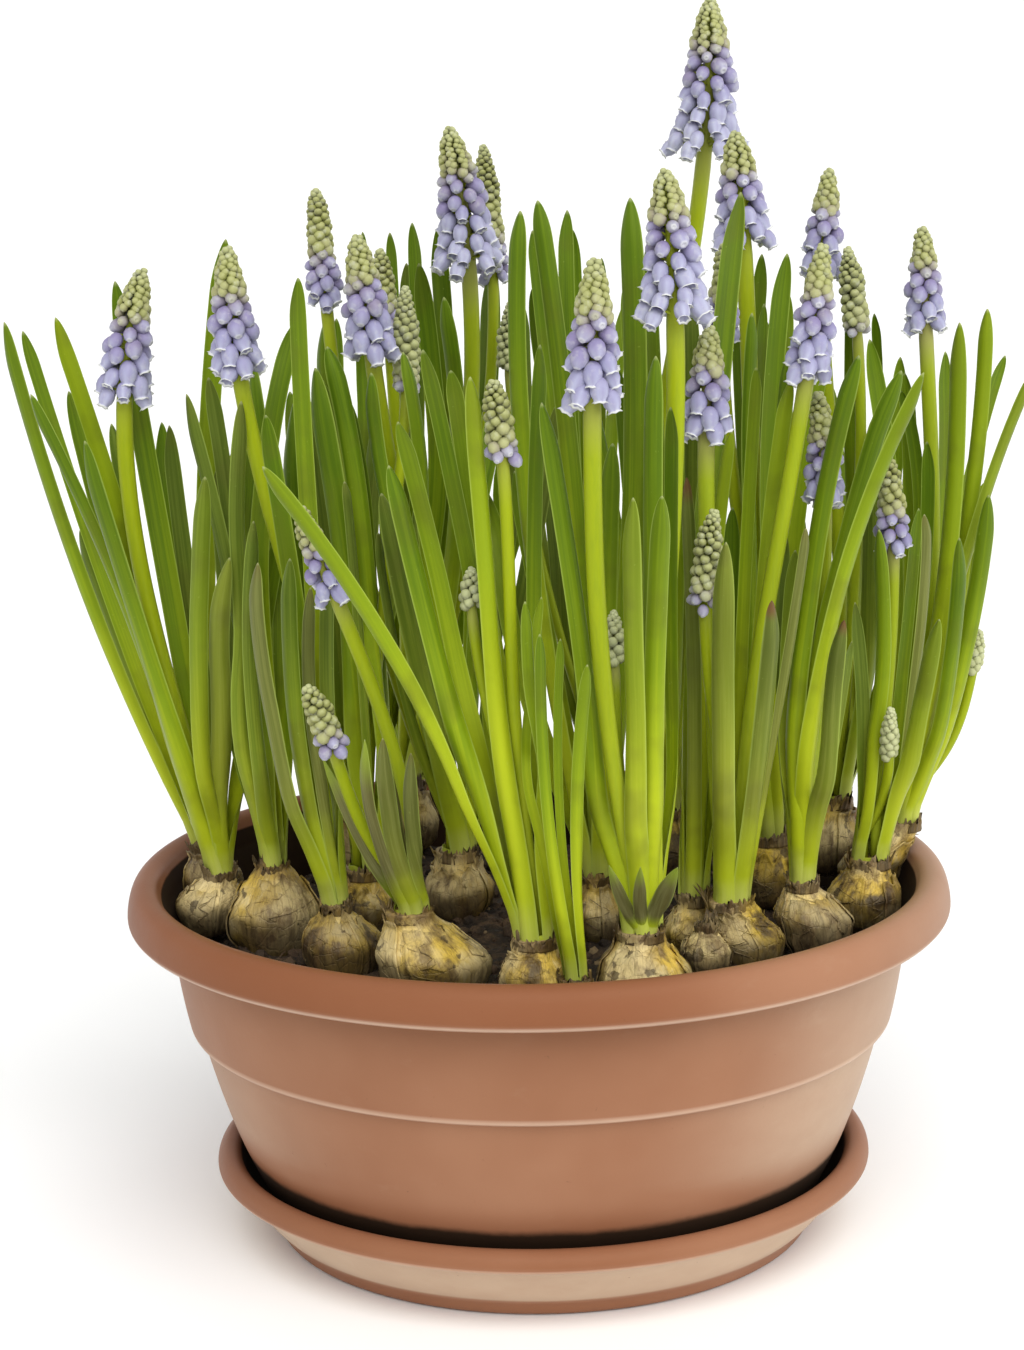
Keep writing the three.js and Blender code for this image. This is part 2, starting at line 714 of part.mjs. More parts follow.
// A point on a strand, with the strand's direction there, by a cardinal spline through its points.
function along(strand, share) {
  const p = strand.points;
  const place = share * (p.length - 1);
  const k = Math.min(Math.floor(place), p.length - 2);
  const t = place - k;
  const before = k > 0 ? p[k - 1] : p[0].clone().multiplyScalar(2).sub(p[1]);
  const after = k + 2 < p.length ? p[k + 2] : p[k + 1].clone().multiplyScalar(2).sub(p[k]);
  const start = p[k + 1].clone().sub(before).multiplyScalar(0.5);
  const end = after.clone().sub(p[k]).multiplyScalar(0.5);
  const at = p[k]
    .clone()
    .multiplyScalar(2 * t ** 3 - 3 * t ** 2 + 1)
    .addScaledVector(start, t ** 3 - 2 * t ** 2 + t)
    .addScaledVector(p[k + 1], -2 * t ** 3 + 3 * t ** 2)
    .addScaledVector(end, t ** 3 - t ** 2);
  const direction = p[k]
    .clone()
    .multiplyScalar(6 * t ** 2 - 6 * t)
    .addScaledVector(start, 3 * t ** 2 - 4 * t + 1)
    .addScaledVector(p[k + 1], -6 * t ** 2 + 6 * t)
    .addScaledVector(end, 3 * t ** 2 - 2 * t)
    .normalize();
  return { at, direction };
}

// ---------------------------------------------------------------- blades and stems

const BLADE_STATIONS = [
  [0, LEAF.baseWidth],
  [0.14, 0.86],
  [0.36, 0.98],
  [0.58, 1],
  [0.78, 0.96],
  [0.92, 0.74],
  [0.985, 0.34],
];

// Which way the blade's inner face looks: at the neck towards the plant's middle, higher up nearly along Y.
function facing(strand, share, index) {
  const inward = strand.away + Math.PI;
  const level = Math.sin(inward) >= 0 ? Math.PI / 2 : -Math.PI / 2;
  const target = level + 0.6 * Math.sin(1.9 * index + strand.width);
  const turn = Math.atan2(Math.sin(target - inward), Math.cos(target - inward));
  const blend = THREE.MathUtils.smoothstep(share, 0.05, 0.55);
  return inward + turn * blend;
}

// One blade: a keeled strip, widest in its upper half, with a blunt tip.
function bladeSolid(strand, index) {
  const rings = BLADE_STATIONS.map(([share, part]) => {
    const { at, direction } = along(strand, share);
    const look = facing(strand, share, index);
    const inner = new THREE.Vector3(Math.cos(look), Math.sin(look), 0);
    const across = new THREE.Vector3().crossVectors(direction, inner).normalize();
    const outer = new THREE.Vector3().crossVectors(direction, across).normalize();
    const half = 0.5 * part * strand.width;
    const keel = LEAF.keel * strand.width * (0.4 + 0.6 * part);
    return [
      at.clone().addScaledVector(across, half).addScaledVector(outer, -0.3 * keel),
      at.clone().addScaledVector(across, -half).addScaledVector(outer, -0.3 * keel),
      at.clone().addScaledVector(outer, 0.7 * keel),
    ];
  });
  return facedOut(skin(rings));
}

function facedOut(geometry) {
  const solid = solidOf(geometry);
  if (solid.volume() > 0) return solid;
  const index = geometry.index.array;
  for (let i = 0; i < index.length; i += 3) [index[i + 1], index[i + 2]] = [index[i + 2], index[i + 1]];
  return solidOf(geometry);
}

function makeLeaves(plant, strands) {
  const hole = sheathHole(plant);
  const ring = [
    [hole, 0],
    [hole + SHEATH.wall, 0],
    [hole + SHEATH.wall, SHEATH.height],
    [hole, SHEATH.height],
    [hole, 0],
  ].map(([r, z]) => new THREE.Vector2(r, z));
  const { x, y, z } = neckPoint(plant);
  const sheath = facedOut(lathe(ring, 8).translate(x, y, z + GAP));
  return joined([sheath, ...strands.map(bladeSolid)]);
}

const STEM_STATIONS = [0, 0.14, 0.38, 0.64, 0.88, 1]; // up the bare stem
const HEAD_STATIONS = [
  [0.05, 0.66],
  [0.24, 1],
  [0.56, 0.84],
  [0.86, 0.42],
  [1, 0.12],
]; // share of the head's length and of its half width

// One flower stalk: a round stem, upright inside the sheath, and round its top the plain envelope of its bells.
function stalkSolid(strand) {
  const foot = strand.points[0].z;
  const tip = strand.points[STRAND_POINTS - 1].z;
  const start = (strand.bellsZ - foot) / (tip - foot);
  const stem = STEM_STATIONS.map((up) => [up * start, STEM_RADIUS]);
  const head = HEAD_STATIONS.map(([up, part]) => [
    start + up * (1 - start),
    Math.max(part * strand.halfWidth, 0.7),
  ]);
  const upright = new THREE.Vector3(0, 0, 1);
  const bottom = strand.points[0].clone().setZ(neckPoint(strand.plant).z + GAP);
  const rings = [
    stemRingAt(bottom, upright, STEM_FOOT),
    stemRingAt(strand.points[0].clone().add(new THREE.Vector3(0, 0, -1)), upright, STEM_FOOT),
    ...[...stem.slice(1), ...head].map(([share, radius]) => {
      const { at, direction } = along(strand, Math.min(share, 1));
      return stemRingAt(at, direction, radius);
    }),
  ];
  return facedOut(skin(rings));
}

function stemRingAt(at, direction, radius) {
  const across = new THREE.Vector3().crossVectors(direction, new THREE.Vector3(0, 1, 0)).normalize();
  const other = new THREE.Vector3().crossVectors(direction, across);
  return Array.from({ length: STEM_SIDES }, (_, i) => {
    const turn = (2 * Math.PI * i) / STEM_SIDES;
    return at
      .clone()
      .addScaledVector(across, radius * Math.cos(turn))
      .addScaledVector(other, radius * Math.sin(turn));
  });
}

function makeStalks(plant, strands) {
  const stems = strands.map(stalkSolid);
  if (stems.length === 1) return stems[0];
  const { x, y, z } = neckPoint(plant);
  const radius = stemRing(plant) + STEM_FOOT;
  const disc = new THREE.CylinderGeometry(radius, radius, 1.5, 12).rotateX(Math.PI / 2);
  return joined([solidOf(disc.translate(x, y, z + GAP + 0.75)), ...stems]);
}

// ---------------------------------------------------------------- assembly

const object = new THREE.Group();

function place(name, solid, colour) {
  const material = new THREE.MeshStandardMaterial({ color: colour, roughness: 0.6, metalness: 0 });
  const mesh = new THREE.Mesh(geometryOf(solid), material);
  mesh.name = name;
  object.add(mesh);
}

const strands = PLANTS.flatMap((plant) => [
  ...plant.leaves.map((row, index) => leafStrand(plant, row, index)),
  ...plant.stalks.map((row, index) => stalkStrand(plant, row, index)),
]);
settle(strands);

place("pot", makePot(), COLOURS.pot);
place("saucer", solidOf(lathe(saucerProfile(), ROUND_SIDES)), COLOURS.saucer);
const seats = PLANTS.map((plant) => makeBulb(plant, GAP));
const soil = seats.reduce((body, seat) => body.subtract(seat), solidOf(lathe(soilProfile(), ROUND_SIDES)));
place("soil", soil, COLOURS.soil);

PLANTS.forEach((plant, index) => {
  const number = String(index + 1).padStart(2, "0");
  const own = strands.filter((strand) => strand.plant === plant);
  const blades = own.filter((strand) => strand.kind === "leaf");
  const stems = own.filter((strand) => strand.kind === "stalk");
  if (!plant.daughter) {
    const next = PLANTS[index + 1];
    const bulb = makeBulb(plant);
    place(`bulb_${number}`, next?.daughter ? bulb.add(makeBulb(next)) : bulb, COLOURS.bulb);
  }
  place(`leaves_${number}`, makeLeaves(plant, blades), COLOURS.leaf);
  if (stems.length) place(`flower_stalks_${number}`, makeStalks(plant, stems), COLOURS.stalk);
});

export default object;
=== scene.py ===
"""Grape hyacinths in a terracotta-coloured pot on its saucer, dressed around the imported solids.

Every length in the tables is in millimetres in the part's own frame: +Z up, -Y to the front,
the origin in the middle of the saucer's underside.
"""
from __future__ import annotations

import logging
import math
from dataclasses import dataclass, field
from enum import Enum
from typing import Callable, Iterable, Sequence

import bpy
import numpy as np
from mathutils import Matrix, Vector, noise
from mathutils.kdtree import KDTree


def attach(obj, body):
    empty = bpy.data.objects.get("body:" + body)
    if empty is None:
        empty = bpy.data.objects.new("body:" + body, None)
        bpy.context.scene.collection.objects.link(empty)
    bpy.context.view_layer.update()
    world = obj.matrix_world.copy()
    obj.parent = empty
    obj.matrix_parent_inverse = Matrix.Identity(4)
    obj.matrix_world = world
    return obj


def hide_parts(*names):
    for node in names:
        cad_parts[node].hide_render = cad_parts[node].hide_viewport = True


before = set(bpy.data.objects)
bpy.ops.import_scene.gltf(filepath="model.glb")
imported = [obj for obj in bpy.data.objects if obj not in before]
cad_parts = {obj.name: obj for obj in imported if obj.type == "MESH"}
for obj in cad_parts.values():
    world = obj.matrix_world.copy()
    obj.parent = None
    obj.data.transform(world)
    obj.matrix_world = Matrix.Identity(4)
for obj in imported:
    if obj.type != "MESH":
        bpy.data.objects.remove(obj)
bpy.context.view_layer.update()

LOG = logging.getLogger("grape_hyacinths")
MM = 0.001
BODY = "root"
Colour = tuple[float, float, float]


# ------------------------------------------------------------------ node trees


def arithmetic(operation: str, swapped: bool = False) -> Callable[..., "Value"]:
    """Makes a method that adds one Math node.

    Args:
        operation: the node's operation.
        swapped: whether the value is the second input.

    Returns:
        The method.
    """

    def method(value: "Value", other: object = None) -> "Value":
        """Adds the node."""
        pair = (other, value) if swapped else (value, other)
        inputs = {i: v for i, v in enumerate(pair) if v is not None}
        return value.graph.node("ShaderNodeMath", {"operation": operation}, inputs)

    return method


class Value:
    """One output socket of a node tree, with arithmetic on it."""

    __add__ = __radd__ = arithmetic("ADD")
    __mul__ = __rmul__ = arithmetic("MULTIPLY")
    __sub__, __rsub__ = arithmetic("SUBTRACT"), arithmetic("SUBTRACT", swapped=True)
    __truediv__ = arithmetic("DIVIDE")
    above = arithmetic("GREATER_THAN")
    size = arithmetic("ABSOLUTE")
    wave = arithmetic("SINE")

    def __init__(self, graph: "Graph", socket: bpy.types.NodeSocket) -> None:
        """Wraps a socket of the graph's tree."""
        self.graph = graph
        self.socket = socket

    def ramp(self, low: float, high: float, to_low: float = 0.0, to_high: float = 1.0) -> "Value":
        """Eases the value from one span to another.

        Args:
            low: where the ramp starts.
            high: where it ends.
            to_low: the result at low.
            to_high: the result at high.

        Returns:
            The eased value.
        """
        return self.graph.node(
            "ShaderNodeMapRange",
            {"interpolation_type": "SMOOTHSTEP"},
            {"Value": self, "From Min": low, "From Max": high, "To Min": to_low, "To Max": to_high},
        )

    def out(self, name: str) -> "Value":
        """Another output of the same node."""
        return Value(self.graph, self.socket.node.outputs[name])


class Graph:
    """A shader or geometry node tree that is written as expressions."""

    def __init__(self, tree: bpy.types.NodeTree) -> None:
        """Empties the tree."""
        self.tree = tree
        tree.nodes.clear()

    def node(self, kind: str, settings: dict | None = None, inputs: dict | None = None) -> Value:
        """Adds one node.

        Args:
            kind: the node's type.
            settings: its properties; "stops" gives a colour ramp's positions and colours.
            inputs: what goes to its sockets, by name or index: a Value, a constant, or a list of Values.

        Returns:
            The node's first enabled output, or for a node without outputs its first input.
        """
        made = self.tree.nodes.new(kind)
        for key, setting in (settings or {}).items():
            if key == "stops":
                elements = made.color_ramp.elements
                while len(elements) < len(setting):
                    elements.new(1.0)
                for element, (position, colour) in zip(elements, setting):
                    element.position, element.color = position, (*colour, 1.0)
            else:
                setattr(made, key, setting)
        for key, given in (inputs or {}).items():
            socket = made.inputs[key] if isinstance(key, int) else self.usable(made, key)
            for link in given if isinstance(given, list) else [given]:
                self.feed(socket, link)
        shown = [socket for socket in made.outputs if socket.enabled]
        return Value(self, (shown or made.inputs)[0])

    def feed(self, socket: bpy.types.NodeSocket, given: object) -> None:
        """Links a Value to a socket, or sets the socket to a constant."""
        if isinstance(given, Value):
            self.tree.links.new(given.socket, socket)
        elif socket.type == "RGBA":
            socket.default_value = (*given, 1.0)
        else:
            socket.default_value = given

    def usable(self, made: bpy.types.Node, name: str) -> bpy.types.NodeSocket:
        """The enabled input of a node that has the name."""
        return next(socket for socket in made.inputs if socket.name == name and socket.enabled)

    def mix(self, factor: object, first: object, second: object) -> Value:
        """Mixes two colours.

        Args:
            factor: how much of the second.
            first: a colour or a Value.
            second: a colour or a Value.

        Returns:
            The mixed colour.
        """
        settings = {"data_type": "RGBA", "clamp_factor": True}
        return self.node("ShaderNodeMix", settings, {"Factor": factor, "A": first, "B": second})

    def layers(self, base: object, *coats: tuple[object, object]) -> Value:
        """Lays colours over a base, one after the other.

        Args:
            base: the colour underneath.
            coats: how much of each colour covers what lies below it, and the colour.

        Returns:
            The colour on top.
        """
        for share, colour in coats:
            base = self.mix(share, base, colour)
        return base

    def colours(self, place: Value, *stops: tuple[float, Colour]) -> Value:
        """The colour at a place between stops."""
        return self.node("ShaderNodeValToRGB", {"stops": stops}, {0: place})

    def vector(self, name: str) -> tuple[Value, Value, Value]:
        """The three numbers of a named attribute of the mesh."""
        attribute = self.node("ShaderNodeAttribute", {"attribute_name": name}).out("Vector")
        parts = self.node("ShaderNodeSeparateXYZ", None, {0: attribute})
        return parts, parts.out("Y"), parts.out("Z")

    def place(self, scale: Sequence[float] = (1, 1, 1)) -> Value:
        """Object coordinates, stretched by a scale."""
        where = self.node("ShaderNodeTexCoord").out("Object")
        return self.node("ShaderNodeMapping", {"vector_type": "POINT"}, {"Vector": where, "Scale": scale})

    def joined(self, x: object, y: object, z: object) -> Value:
        """A vector of three numbers."""
        return self.node("ShaderNodeCombineXYZ", None, {0: x, 1: y, 2: z})

    def noise(self, at: Value, scale: float, detail: float = 3.0, rough: float = 0.55) -> Value:
        """Smooth noise from 0 to 1 at a place."""
        inputs = {"Vector": at, "Scale": scale, "Detail": detail, "Roughness": rough}
        return self.node("ShaderNodeTexNoise", None, inputs)

    def bump(self, height: Value, strength: float, depth: float) -> Value:
        """A bumped normal; depth is in metres."""
        return self.node("ShaderNodeBump", None, {"Height": height, "Strength": strength, "Distance": depth})


# ------------------------------------------------------------------ finishes


@dataclass(frozen=True)
class Finish:
    """A Principled material, whose kinds each paint nodes of their own."""

    name: str
    specular: float = 0.3
    tint: Colour = (1.0, 1.0, 1.0)

    def paint(self, g: Graph) -> dict:
        """Adds the finish's nodes and gives what feeds the shader's sockets."""
        raise NotImplementedError

    def build(self) -> bpy.types.Material:
        """Makes the material."""
        made = bpy.data.materials.new(self.name)
        made.use_nodes = True
        g = Graph(made.node_tree)
        gloss = {"Specular IOR Level": self.specular, "Specular Tint": self.tint}
        shader = g.node("ShaderNodeBsdfPrincipled", None, {**gloss, **self.paint(g)})
        g.node("ShaderNodeOutputMaterial", None, {"Surface": shader})
        return made


@dataclass(frozen=True)
class PlasticFinish(Finish):
    """Matt terracotta-coloured plastic, faintly mottled, with dark specks, painted highlights along its edges and
    painted shade.

    The mesh carries a vector of painted light: how much painted shade darkens it and how much painted highlight
    lies on its edges, each 0 to 1, and a painted tone, from -1 pale with painted sheen to 1 deep with painted
    shade.
    """

    specular: float = 0.13
    tint: Colour = (1.0, 0.80, 0.62)
    base: Colour = (0.325, 0.158, 0.089)
    # the colour of random scuffs and of the painted sheen on the sides
    pale: Colour = (0.53, 0.395, 0.280)
    # the colour of the painted highlight lines along edges
    light: Colour = (0.72, 0.54, 0.41)
    # the colour of random mottling and of painted shade
    deep: Colour = (0.215, 0.080, 0.036)
    speck: Colour = (0.08, 0.038, 0.022)
    # the colour of the painted shade inside the pot and the saucer and at the pot's foot
    shade_colour: Colour = (0.012, 0.007, 0.004)
    roughness: float = 0.34

    def paint(self, g: Graph) -> dict:
        """Adds the finish's nodes."""
        painted_shade, edge_highlight, shade = g.vector("wear")
        where = g.place()
        cloud = g.noise(where, 18.0, 3.0)
        fine = g.noise(where, 420.0, 4.0, 0.7)
        scuff = g.noise(g.place((1.0, 1.0, 1.8)), 65.0, 5.0, 0.65)
        # painted shade: unevenly darkens the inside of the pot and the saucer and the pot's foot by the saucer
        stain = (painted_shade + (scuff - 0.5) * 0.5 * painted_shade.ramp(0.0, 0.2)).ramp(0.15, 0.8)
        tone = g.layers(
            self.base,
            (cloud.ramp(0.35, 0.7) * 0.35, self.deep),
            (scuff.ramp(0.58, 0.85) * 0.12, self.pale),
            # painted shade where the tone is above 0, painted sheen where it is below 0
            (shade.ramp(0.0, 1.0) * (0.75 + cloud * 0.4), self.deep),
            ((0.0 - shade).ramp(0.0, 1.0) * (0.7 + scuff * 0.5), self.pale),
            # painted highlight lines where edges catch the light
            (edge_highlight * (0.7 + scuff * 0.5), self.light),
            (fine.ramp(0.68, 0.78) * 0.45, self.speck),
            # painted shade
            (stain * 0.96, self.shade_colour),
        )
        rough = cloud * 0.12 + scuff * 0.12 + stain * 0.42 + self.roughness
        relief = g.bump(fine * 0.5 + scuff * 0.5, 0.25, 0.0004)
        return {"Base Color": tone, "Roughness": rough, "Normal": relief}


@dataclass(frozen=True)
class LeafFinish(Finish):
    """A smooth strap leaf: cream at the foot, yellow-green, then deep green, with fine lengthwise veins.

    The mesh carries two vectors: "blade" is across (-1 to 1), along (0 to 1) and the blade's tone, which in DEEP
    and OLIVE blades is partly painted shade;
    "look" is how young and grey it is, how brown its tip is, and 1 on the hollow inner side.
    """

    specular: float = 0.36
    tint: Colour = (0.9, 1.0, 0.30)
    cream: Colour = (0.62, 0.64, 0.20)
    low: Colour = (0.40, 0.465, 0.012)
    middle: Colour = (0.172, 0.260, 0.005)
    high: Colour = (0.062, 0.118, 0.003)
    dull: Colour = (0.105, 0.096, 0.030)
    ashen: Colour = (0.23, 0.222, 0.090)
    # this colour paints the highlight along blade edges and the real pale specks
    rim: Colour = (0.44, 0.54, 0.11)
    olive: Colour = (0.085, 0.090, 0.010)
    furrow: Colour = (0.03, 0.07, 0.006)
    shoot_tip: Colour = (0.24, 0.32, 0.03)
    pale_tip: Colour = (0.50, 0.52, 0.26)
    dry_tip: Colour = (0.13, 0.06, 0.028)

    def paint(self, g: Graph) -> dict:
        """Adds the finish's nodes."""
        across, along, tone = g.vector("blade")
        young, brown, inner = g.vector("look")
        where = g.place()
        cloud = g.noise(where, 45.0, 3.0)
        fine = g.noise(where, 900.0, 3.0, 0.6)
        veins = g.noise(g.joined(across * 3.2 + tone * 40.0, along * 2.0, tone * 7.0), 1.0, 5.0, 0.6)
        lines = (across * 95.0 + cloud * 3.0).wave()
        streak = veins.ramp(0.38, 0.66)
        reach = along + (tone - 0.5) * 0.42 + (cloud - 0.5) * 0.22
        green = g.layers(
            g.colours(reach, (0.0, self.low), (0.16, self.low), (0.5, self.middle), (0.9, self.high)),
            (along.ramp(0.0, 0.07, 0.6, 0.0), self.cream),
            (inner * 0.3 * along.ramp(0.1, 0.5), self.high),
            (streak * 0.38, g.mix(along.ramp(0.3, 0.9), self.low, self.middle)),
            ((0.5 - tone).ramp(0.0, 0.5) * 0.35, self.low),
            (cloud.ramp(0.5, 0.34) * 0.35, self.olive),
            (young * along.ramp(0.04, 0.34, 0.10, 0.85), g.mix(streak * 0.5 + 0.1, self.dull, self.ashen)),
            ((young - 1.0).ramp(0.0, 0.3) * along.ramp(0.72, 0.96) * 0.8, self.shoot_tip),
            # painted highlight along both edges of each blade
            (across.size().ramp(0.86, 0.98) * 0.45, self.rim),
            (along.ramp(0.990, 0.999) * 0.5, self.pale_tip),
            (lines.ramp(-0.2, 1.0) * 0.13, self.furrow),
            (across.size().ramp(0.15, 0.75) * (1.0 - young) * 0.16, self.high),
            (fine.ramp(0.68, 0.76) * 0.16, self.rim),
            ((along + (cloud - 0.5) * 0.04).ramp(0.93, 0.985) * brown, self.dry_tip),
        )
        rough = 0.34 + streak * 0.12 + cloud * 0.12
        relief = lines * 0.06 + veins * 0.5 + fine * 0.25
        return {"Base Color": green, "Roughness": rough, "Normal": g.bump(relief, 0.25, 0.0002)}


@dataclass(frozen=True)
class StemFinish(Finish):
    """A juicy yellow-green flower stem, flushed with brown-violet among the bells.

    The mesh carries "stem": how far up it is (0 to 1), the flush (0 to 1) and the stem's own tone.
    """

    specular: float = 0.25
    tint: Colour = (0.95, 1.0, 0.45)
    low: Colour = (0.355, 0.41, 0.016)
    high: Colour = (0.285, 0.345, 0.006)
    streaked: Colour = (0.20, 0.27, 0.012)
    darker: Colour = (0.22, 0.30, 0.02)
    flush: Colour = (0.33, 0.28, 0.14)

    def paint(self, g: Graph) -> dict:
        """Adds the finish's nodes."""
        up, flushed, tone = g.vector("stem")
        cloud = g.noise(g.place(), 90.0, 3.0)
        streak = g.noise(g.place((1.0, 1.0, 0.12)), 900.0, 2.0)
        green = g.layers(
            self.low,
            (up.ramp(0.0, 0.5), self.high),
            (streak.ramp(0.4, 0.7) * 0.3, self.streaked),
            (tone.ramp(0.4, 1.0) * 0.3, self.darker),
            (flushed * (0.55 + cloud * 0.3), self.flush),
        )
        return {"Base Color": green, "Roughness": 0.34 + cloud * 0.14, "Normal": g.bump(streak, 0.25, 0.0001)}


@dataclass(frozen=True)
class BloomFinish(Finish):
    """Bells and buds: yellow-green buds turn grey-lavender, then violet-blue bells with white teeth.

    The mesh carries "bloom": the stage (0 a green bud, 1 an open bell, up to 1.4 a fading one), the
    flower's own tone and how pale it is; and "floret": how far along the flower (0 to 1).
    """

    bud: Colour = (0.225, 0.235, 0.062)
    turning: Colour = (0.29, 0.26, 0.18)
    violet: Colour = (0.225, 0.19, 0.34)
    blue: Colour = (0.285, 0.28, 0.44)
    fading: Colour = (0.45, 0.465, 0.585)
    white: Colour = (0.84, 0.85, 0.80)
    bud_tip: Colour = (0.46, 0.47, 0.20)
    # the colour of the painted shade between crowded buds
    bud_shade: Colour = (0.055, 0.052, 0.022)
    bloom_dust: Colour = (0.58, 0.59, 0.54)
    unripe: Colour = (0.60, 0.63, 0.38)

    def paint(self, g: Graph) -> dict:
        """Adds the finish's nodes."""
        stage, tone, pale = g.vector("bloom")
        along, rib, _ = g.vector("floret")
        cloud = g.noise(g.place(), 520.0, 3.0)
        broad = g.noise(g.place(), 140.0, 2.0)
        ripe = (stage + (tone - 0.5) * 0.16 + (broad - 0.5) * 0.12) / 1.5
        coloured = stage.ramp(0.34, 0.56)
        mouth = (along + (cloud - 0.5) * 0.05).ramp(0.86, 0.97)
        skin = g.layers(
            g.colours(ripe, (0.0, self.bud), (0.10, self.bud), (0.26, self.turning), (0.42, self.violet),
                      (0.60, self.blue), (0.95, self.fading)),
            (along.ramp(0.35, 0.95) * coloured * 0.62, self.fading),
            (along.ramp(0.5, 0.0) * coloured * 0.6, self.violet),
            (rib * coloured * along.ramp(0.15, 0.5) * 0.4, self.violet),
            (mouth * (coloured * 0.4 + stage.ramp(0.72, 0.86) * 0.5), self.white),
            ((1.0 - coloured) * along.ramp(0.62, 0.98) * 0.55, self.bud_tip),
            # painted shade on the lower part of each bud, where the buds crowd together
            ((1.0 - coloured) * along.ramp(0.68, 0.2) * 0.85, self.bud_shade),
            (cloud.ramp(0.5, 0.72) * 0.28, self.bloom_dust),
            (pale * 0.6, self.unripe),
        )
        return {"Base Color": skin, "Roughness": 0.42 + cloud * 0.16, "Normal": g.bump(cloud, 0.2, 0.0001)}


@dataclass(frozen=True)
class TunicFinish(Finish):
    """Papery bulb skin: tan and ochre with cream patches, brown stains, dark specks and lengthwise fibres.

    The mesh carries "tunic": round the bulb (0 to 1), from base to crown (0 to 1), and how dry it is; and
    "skin": how yellow, how pale and how brown the bulb is.
    """

    specular: float = 0.45
    tint: Colour = (1.0, 0.93, 0.75)
    tan: Colour = (0.56, 0.375, 0.095)
    ochre: Colour = (0.70, 0.475, 0.045)
    cream: Colour = (0.84, 0.68, 0.34)
    brown: Colour = (0.125, 0.070, 0.026)
    husk: Colour = (0.125, 0.070, 0.028)
    # the near-black of real dark patches, spots, specks and husk fibres, and of the painted shade low on each bulb
    dark_mark_and_shade: Colour = (0.030, 0.018, 0.010)

    def paint(self, g: Graph) -> dict:
        """Adds the finish's nodes."""
        turn, up, dry = g.vector("tunic")
        yellow, pale, dark = g.vector("skin")
        where = g.place()
        patch = g.noise(where, 48.0, 3.0, 0.55)
        stain = g.noise(g.place((1.0, 1.0, 0.6)), 120.0, 6.0, 0.66)
        fine = g.noise(where, 800.0, 4.0, 0.7)
        spot = g.noise(where, 190.0, 2.0, 0.4)
        fibre = g.noise(g.joined(turn * 36.0, up * 3.0 + patch * 1.5, patch * 2.0), 1.0, 5.0, 0.62)
        hair = g.noise(g.joined(turn * 120.0, up * 7.0 + stain * 2.0, stain * 2.0), 1.0, 3.0, 0.6)
        cells = g.joined(turn * 16.0 + fibre * 0.8, up * 7.0 + fibre * 0.5, patch * 3.0)
        crack = g.node("ShaderNodeTexVoronoi", {"feature": "DISTANCE_TO_EDGE"}, {"Vector": cells, "Scale": 1.0})
        skin = g.layers(
            self.tan,
            (yellow * 0.7 + patch.ramp(0.56, 0.40) * 0.4, self.ochre),
            ((patch + pale * 0.12).ramp(0.46, 0.62) * 0.75, self.cream),
            (stain.ramp(0.53, 0.37) * (0.66 + dark * 0.3), self.brown),
            (fibre.ramp(0.50, 0.66) * 0.44, self.brown),
            (hair.ramp(0.52, 0.68) * 0.36, self.brown),
            (stain.ramp(0.55, 0.66) * 0.6, self.cream),
            (crack.ramp(0.05, 0.0) * 0.14, self.brown),
            ((patch * 0.6 + stain * 0.4 - dark * 0.06).ramp(0.42, 0.34) * 0.75, self.dark_mark_and_shade),
            ((spot + (fine - 0.5) * 0.2).ramp(0.66, 0.70) * 0.75, self.dark_mark_and_shade),
            (fine.ramp(0.62, 0.74) * 0.35, self.dark_mark_and_shade),
            (up.ramp(0.80, 1.0) * 0.7, self.brown),
            # painted shade, with some soil on the skin: darkens the lower part of each bulb, low among its
            # neighbours
            ((up + (patch - 0.5) * 0.25).ramp(0.58, 0.30) * 0.8, self.dark_mark_and_shade),
            (dry * (0.75 + stain * 0.3), g.mix(fibre.ramp(0.30, 0.62), self.husk, self.dark_mark_and_shade)),
        )
        relief = fibre * 0.5 + stain * 0.6 + hair * 0.25 + fine * 0.12 + crack.ramp(0.0, 0.06) * 0.12
        return {"Base Color": skin, "Roughness": 0.34 + stain * 0.3, "Normal": g.bump(relief, 0.75, 0.0010)}


@dataclass(frozen=True)
class SoilFinish(Finish):
    """Damp peaty compost: nearly black, with brown crumbs and fibres. "crumb" holds each clod's own tone."""

    dark: Colour = (0.020, 0.013, 0.008)
    brown: Colour = (0.085, 0.050, 0.026)
    straw: Colour = (0.26, 0.18, 0.09)

    def paint(self, g: Graph) -> dict:
        """Adds the finish's nodes."""
        tone, straw, _ = g.vector("crumb")
        where = g.place()
        clod = g.noise(where, 160.0, 5.0, 0.7)
        fine = g.noise(where, 800.0, 4.0, 0.7)
        earth = g.layers(
            self.dark,
            (clod.ramp(0.4, 0.7), self.brown),
            (tone.ramp(0.6, 1.0) * 0.6, self.brown),
            (straw, self.straw),
            (fine.ramp(0.66, 0.74) * 0.5, self.straw),
        )
        relief = g.bump(clod + fine * 0.4, 0.8, 0.0012)
        return {"Base Color": earth, "Roughness": 0.75 + clod * 0.2, "Normal": relief}


@dataclass(frozen=True)
class FloorFinish(Finish):
    """A plain pale studio floor."""

    specular: float = 0.2
    colour: Colour = (0.95, 0.95, 0.945)
    cloudy: Colour = (0.93, 0.93, 0.92)

    def paint(self, g: Graph) -> dict:
        """Adds the finish's nodes."""
        cloud = g.noise(g.place(), 3.0, 2.0)
        return {"Base Color": g.mix(cloud * 0.15, self.colour, self.cloudy), "Roughness": 0.7 + cloud * 0.1}


# ------------------------------------------------------------------ mesh making


def unit(vectors: np.ndarray) -> np.ndarray:
    """Vectors of length 1."""
    return vectors / np.maximum(np.linalg.norm(vectors, axis=-1, keepdims=True), 1e-12)


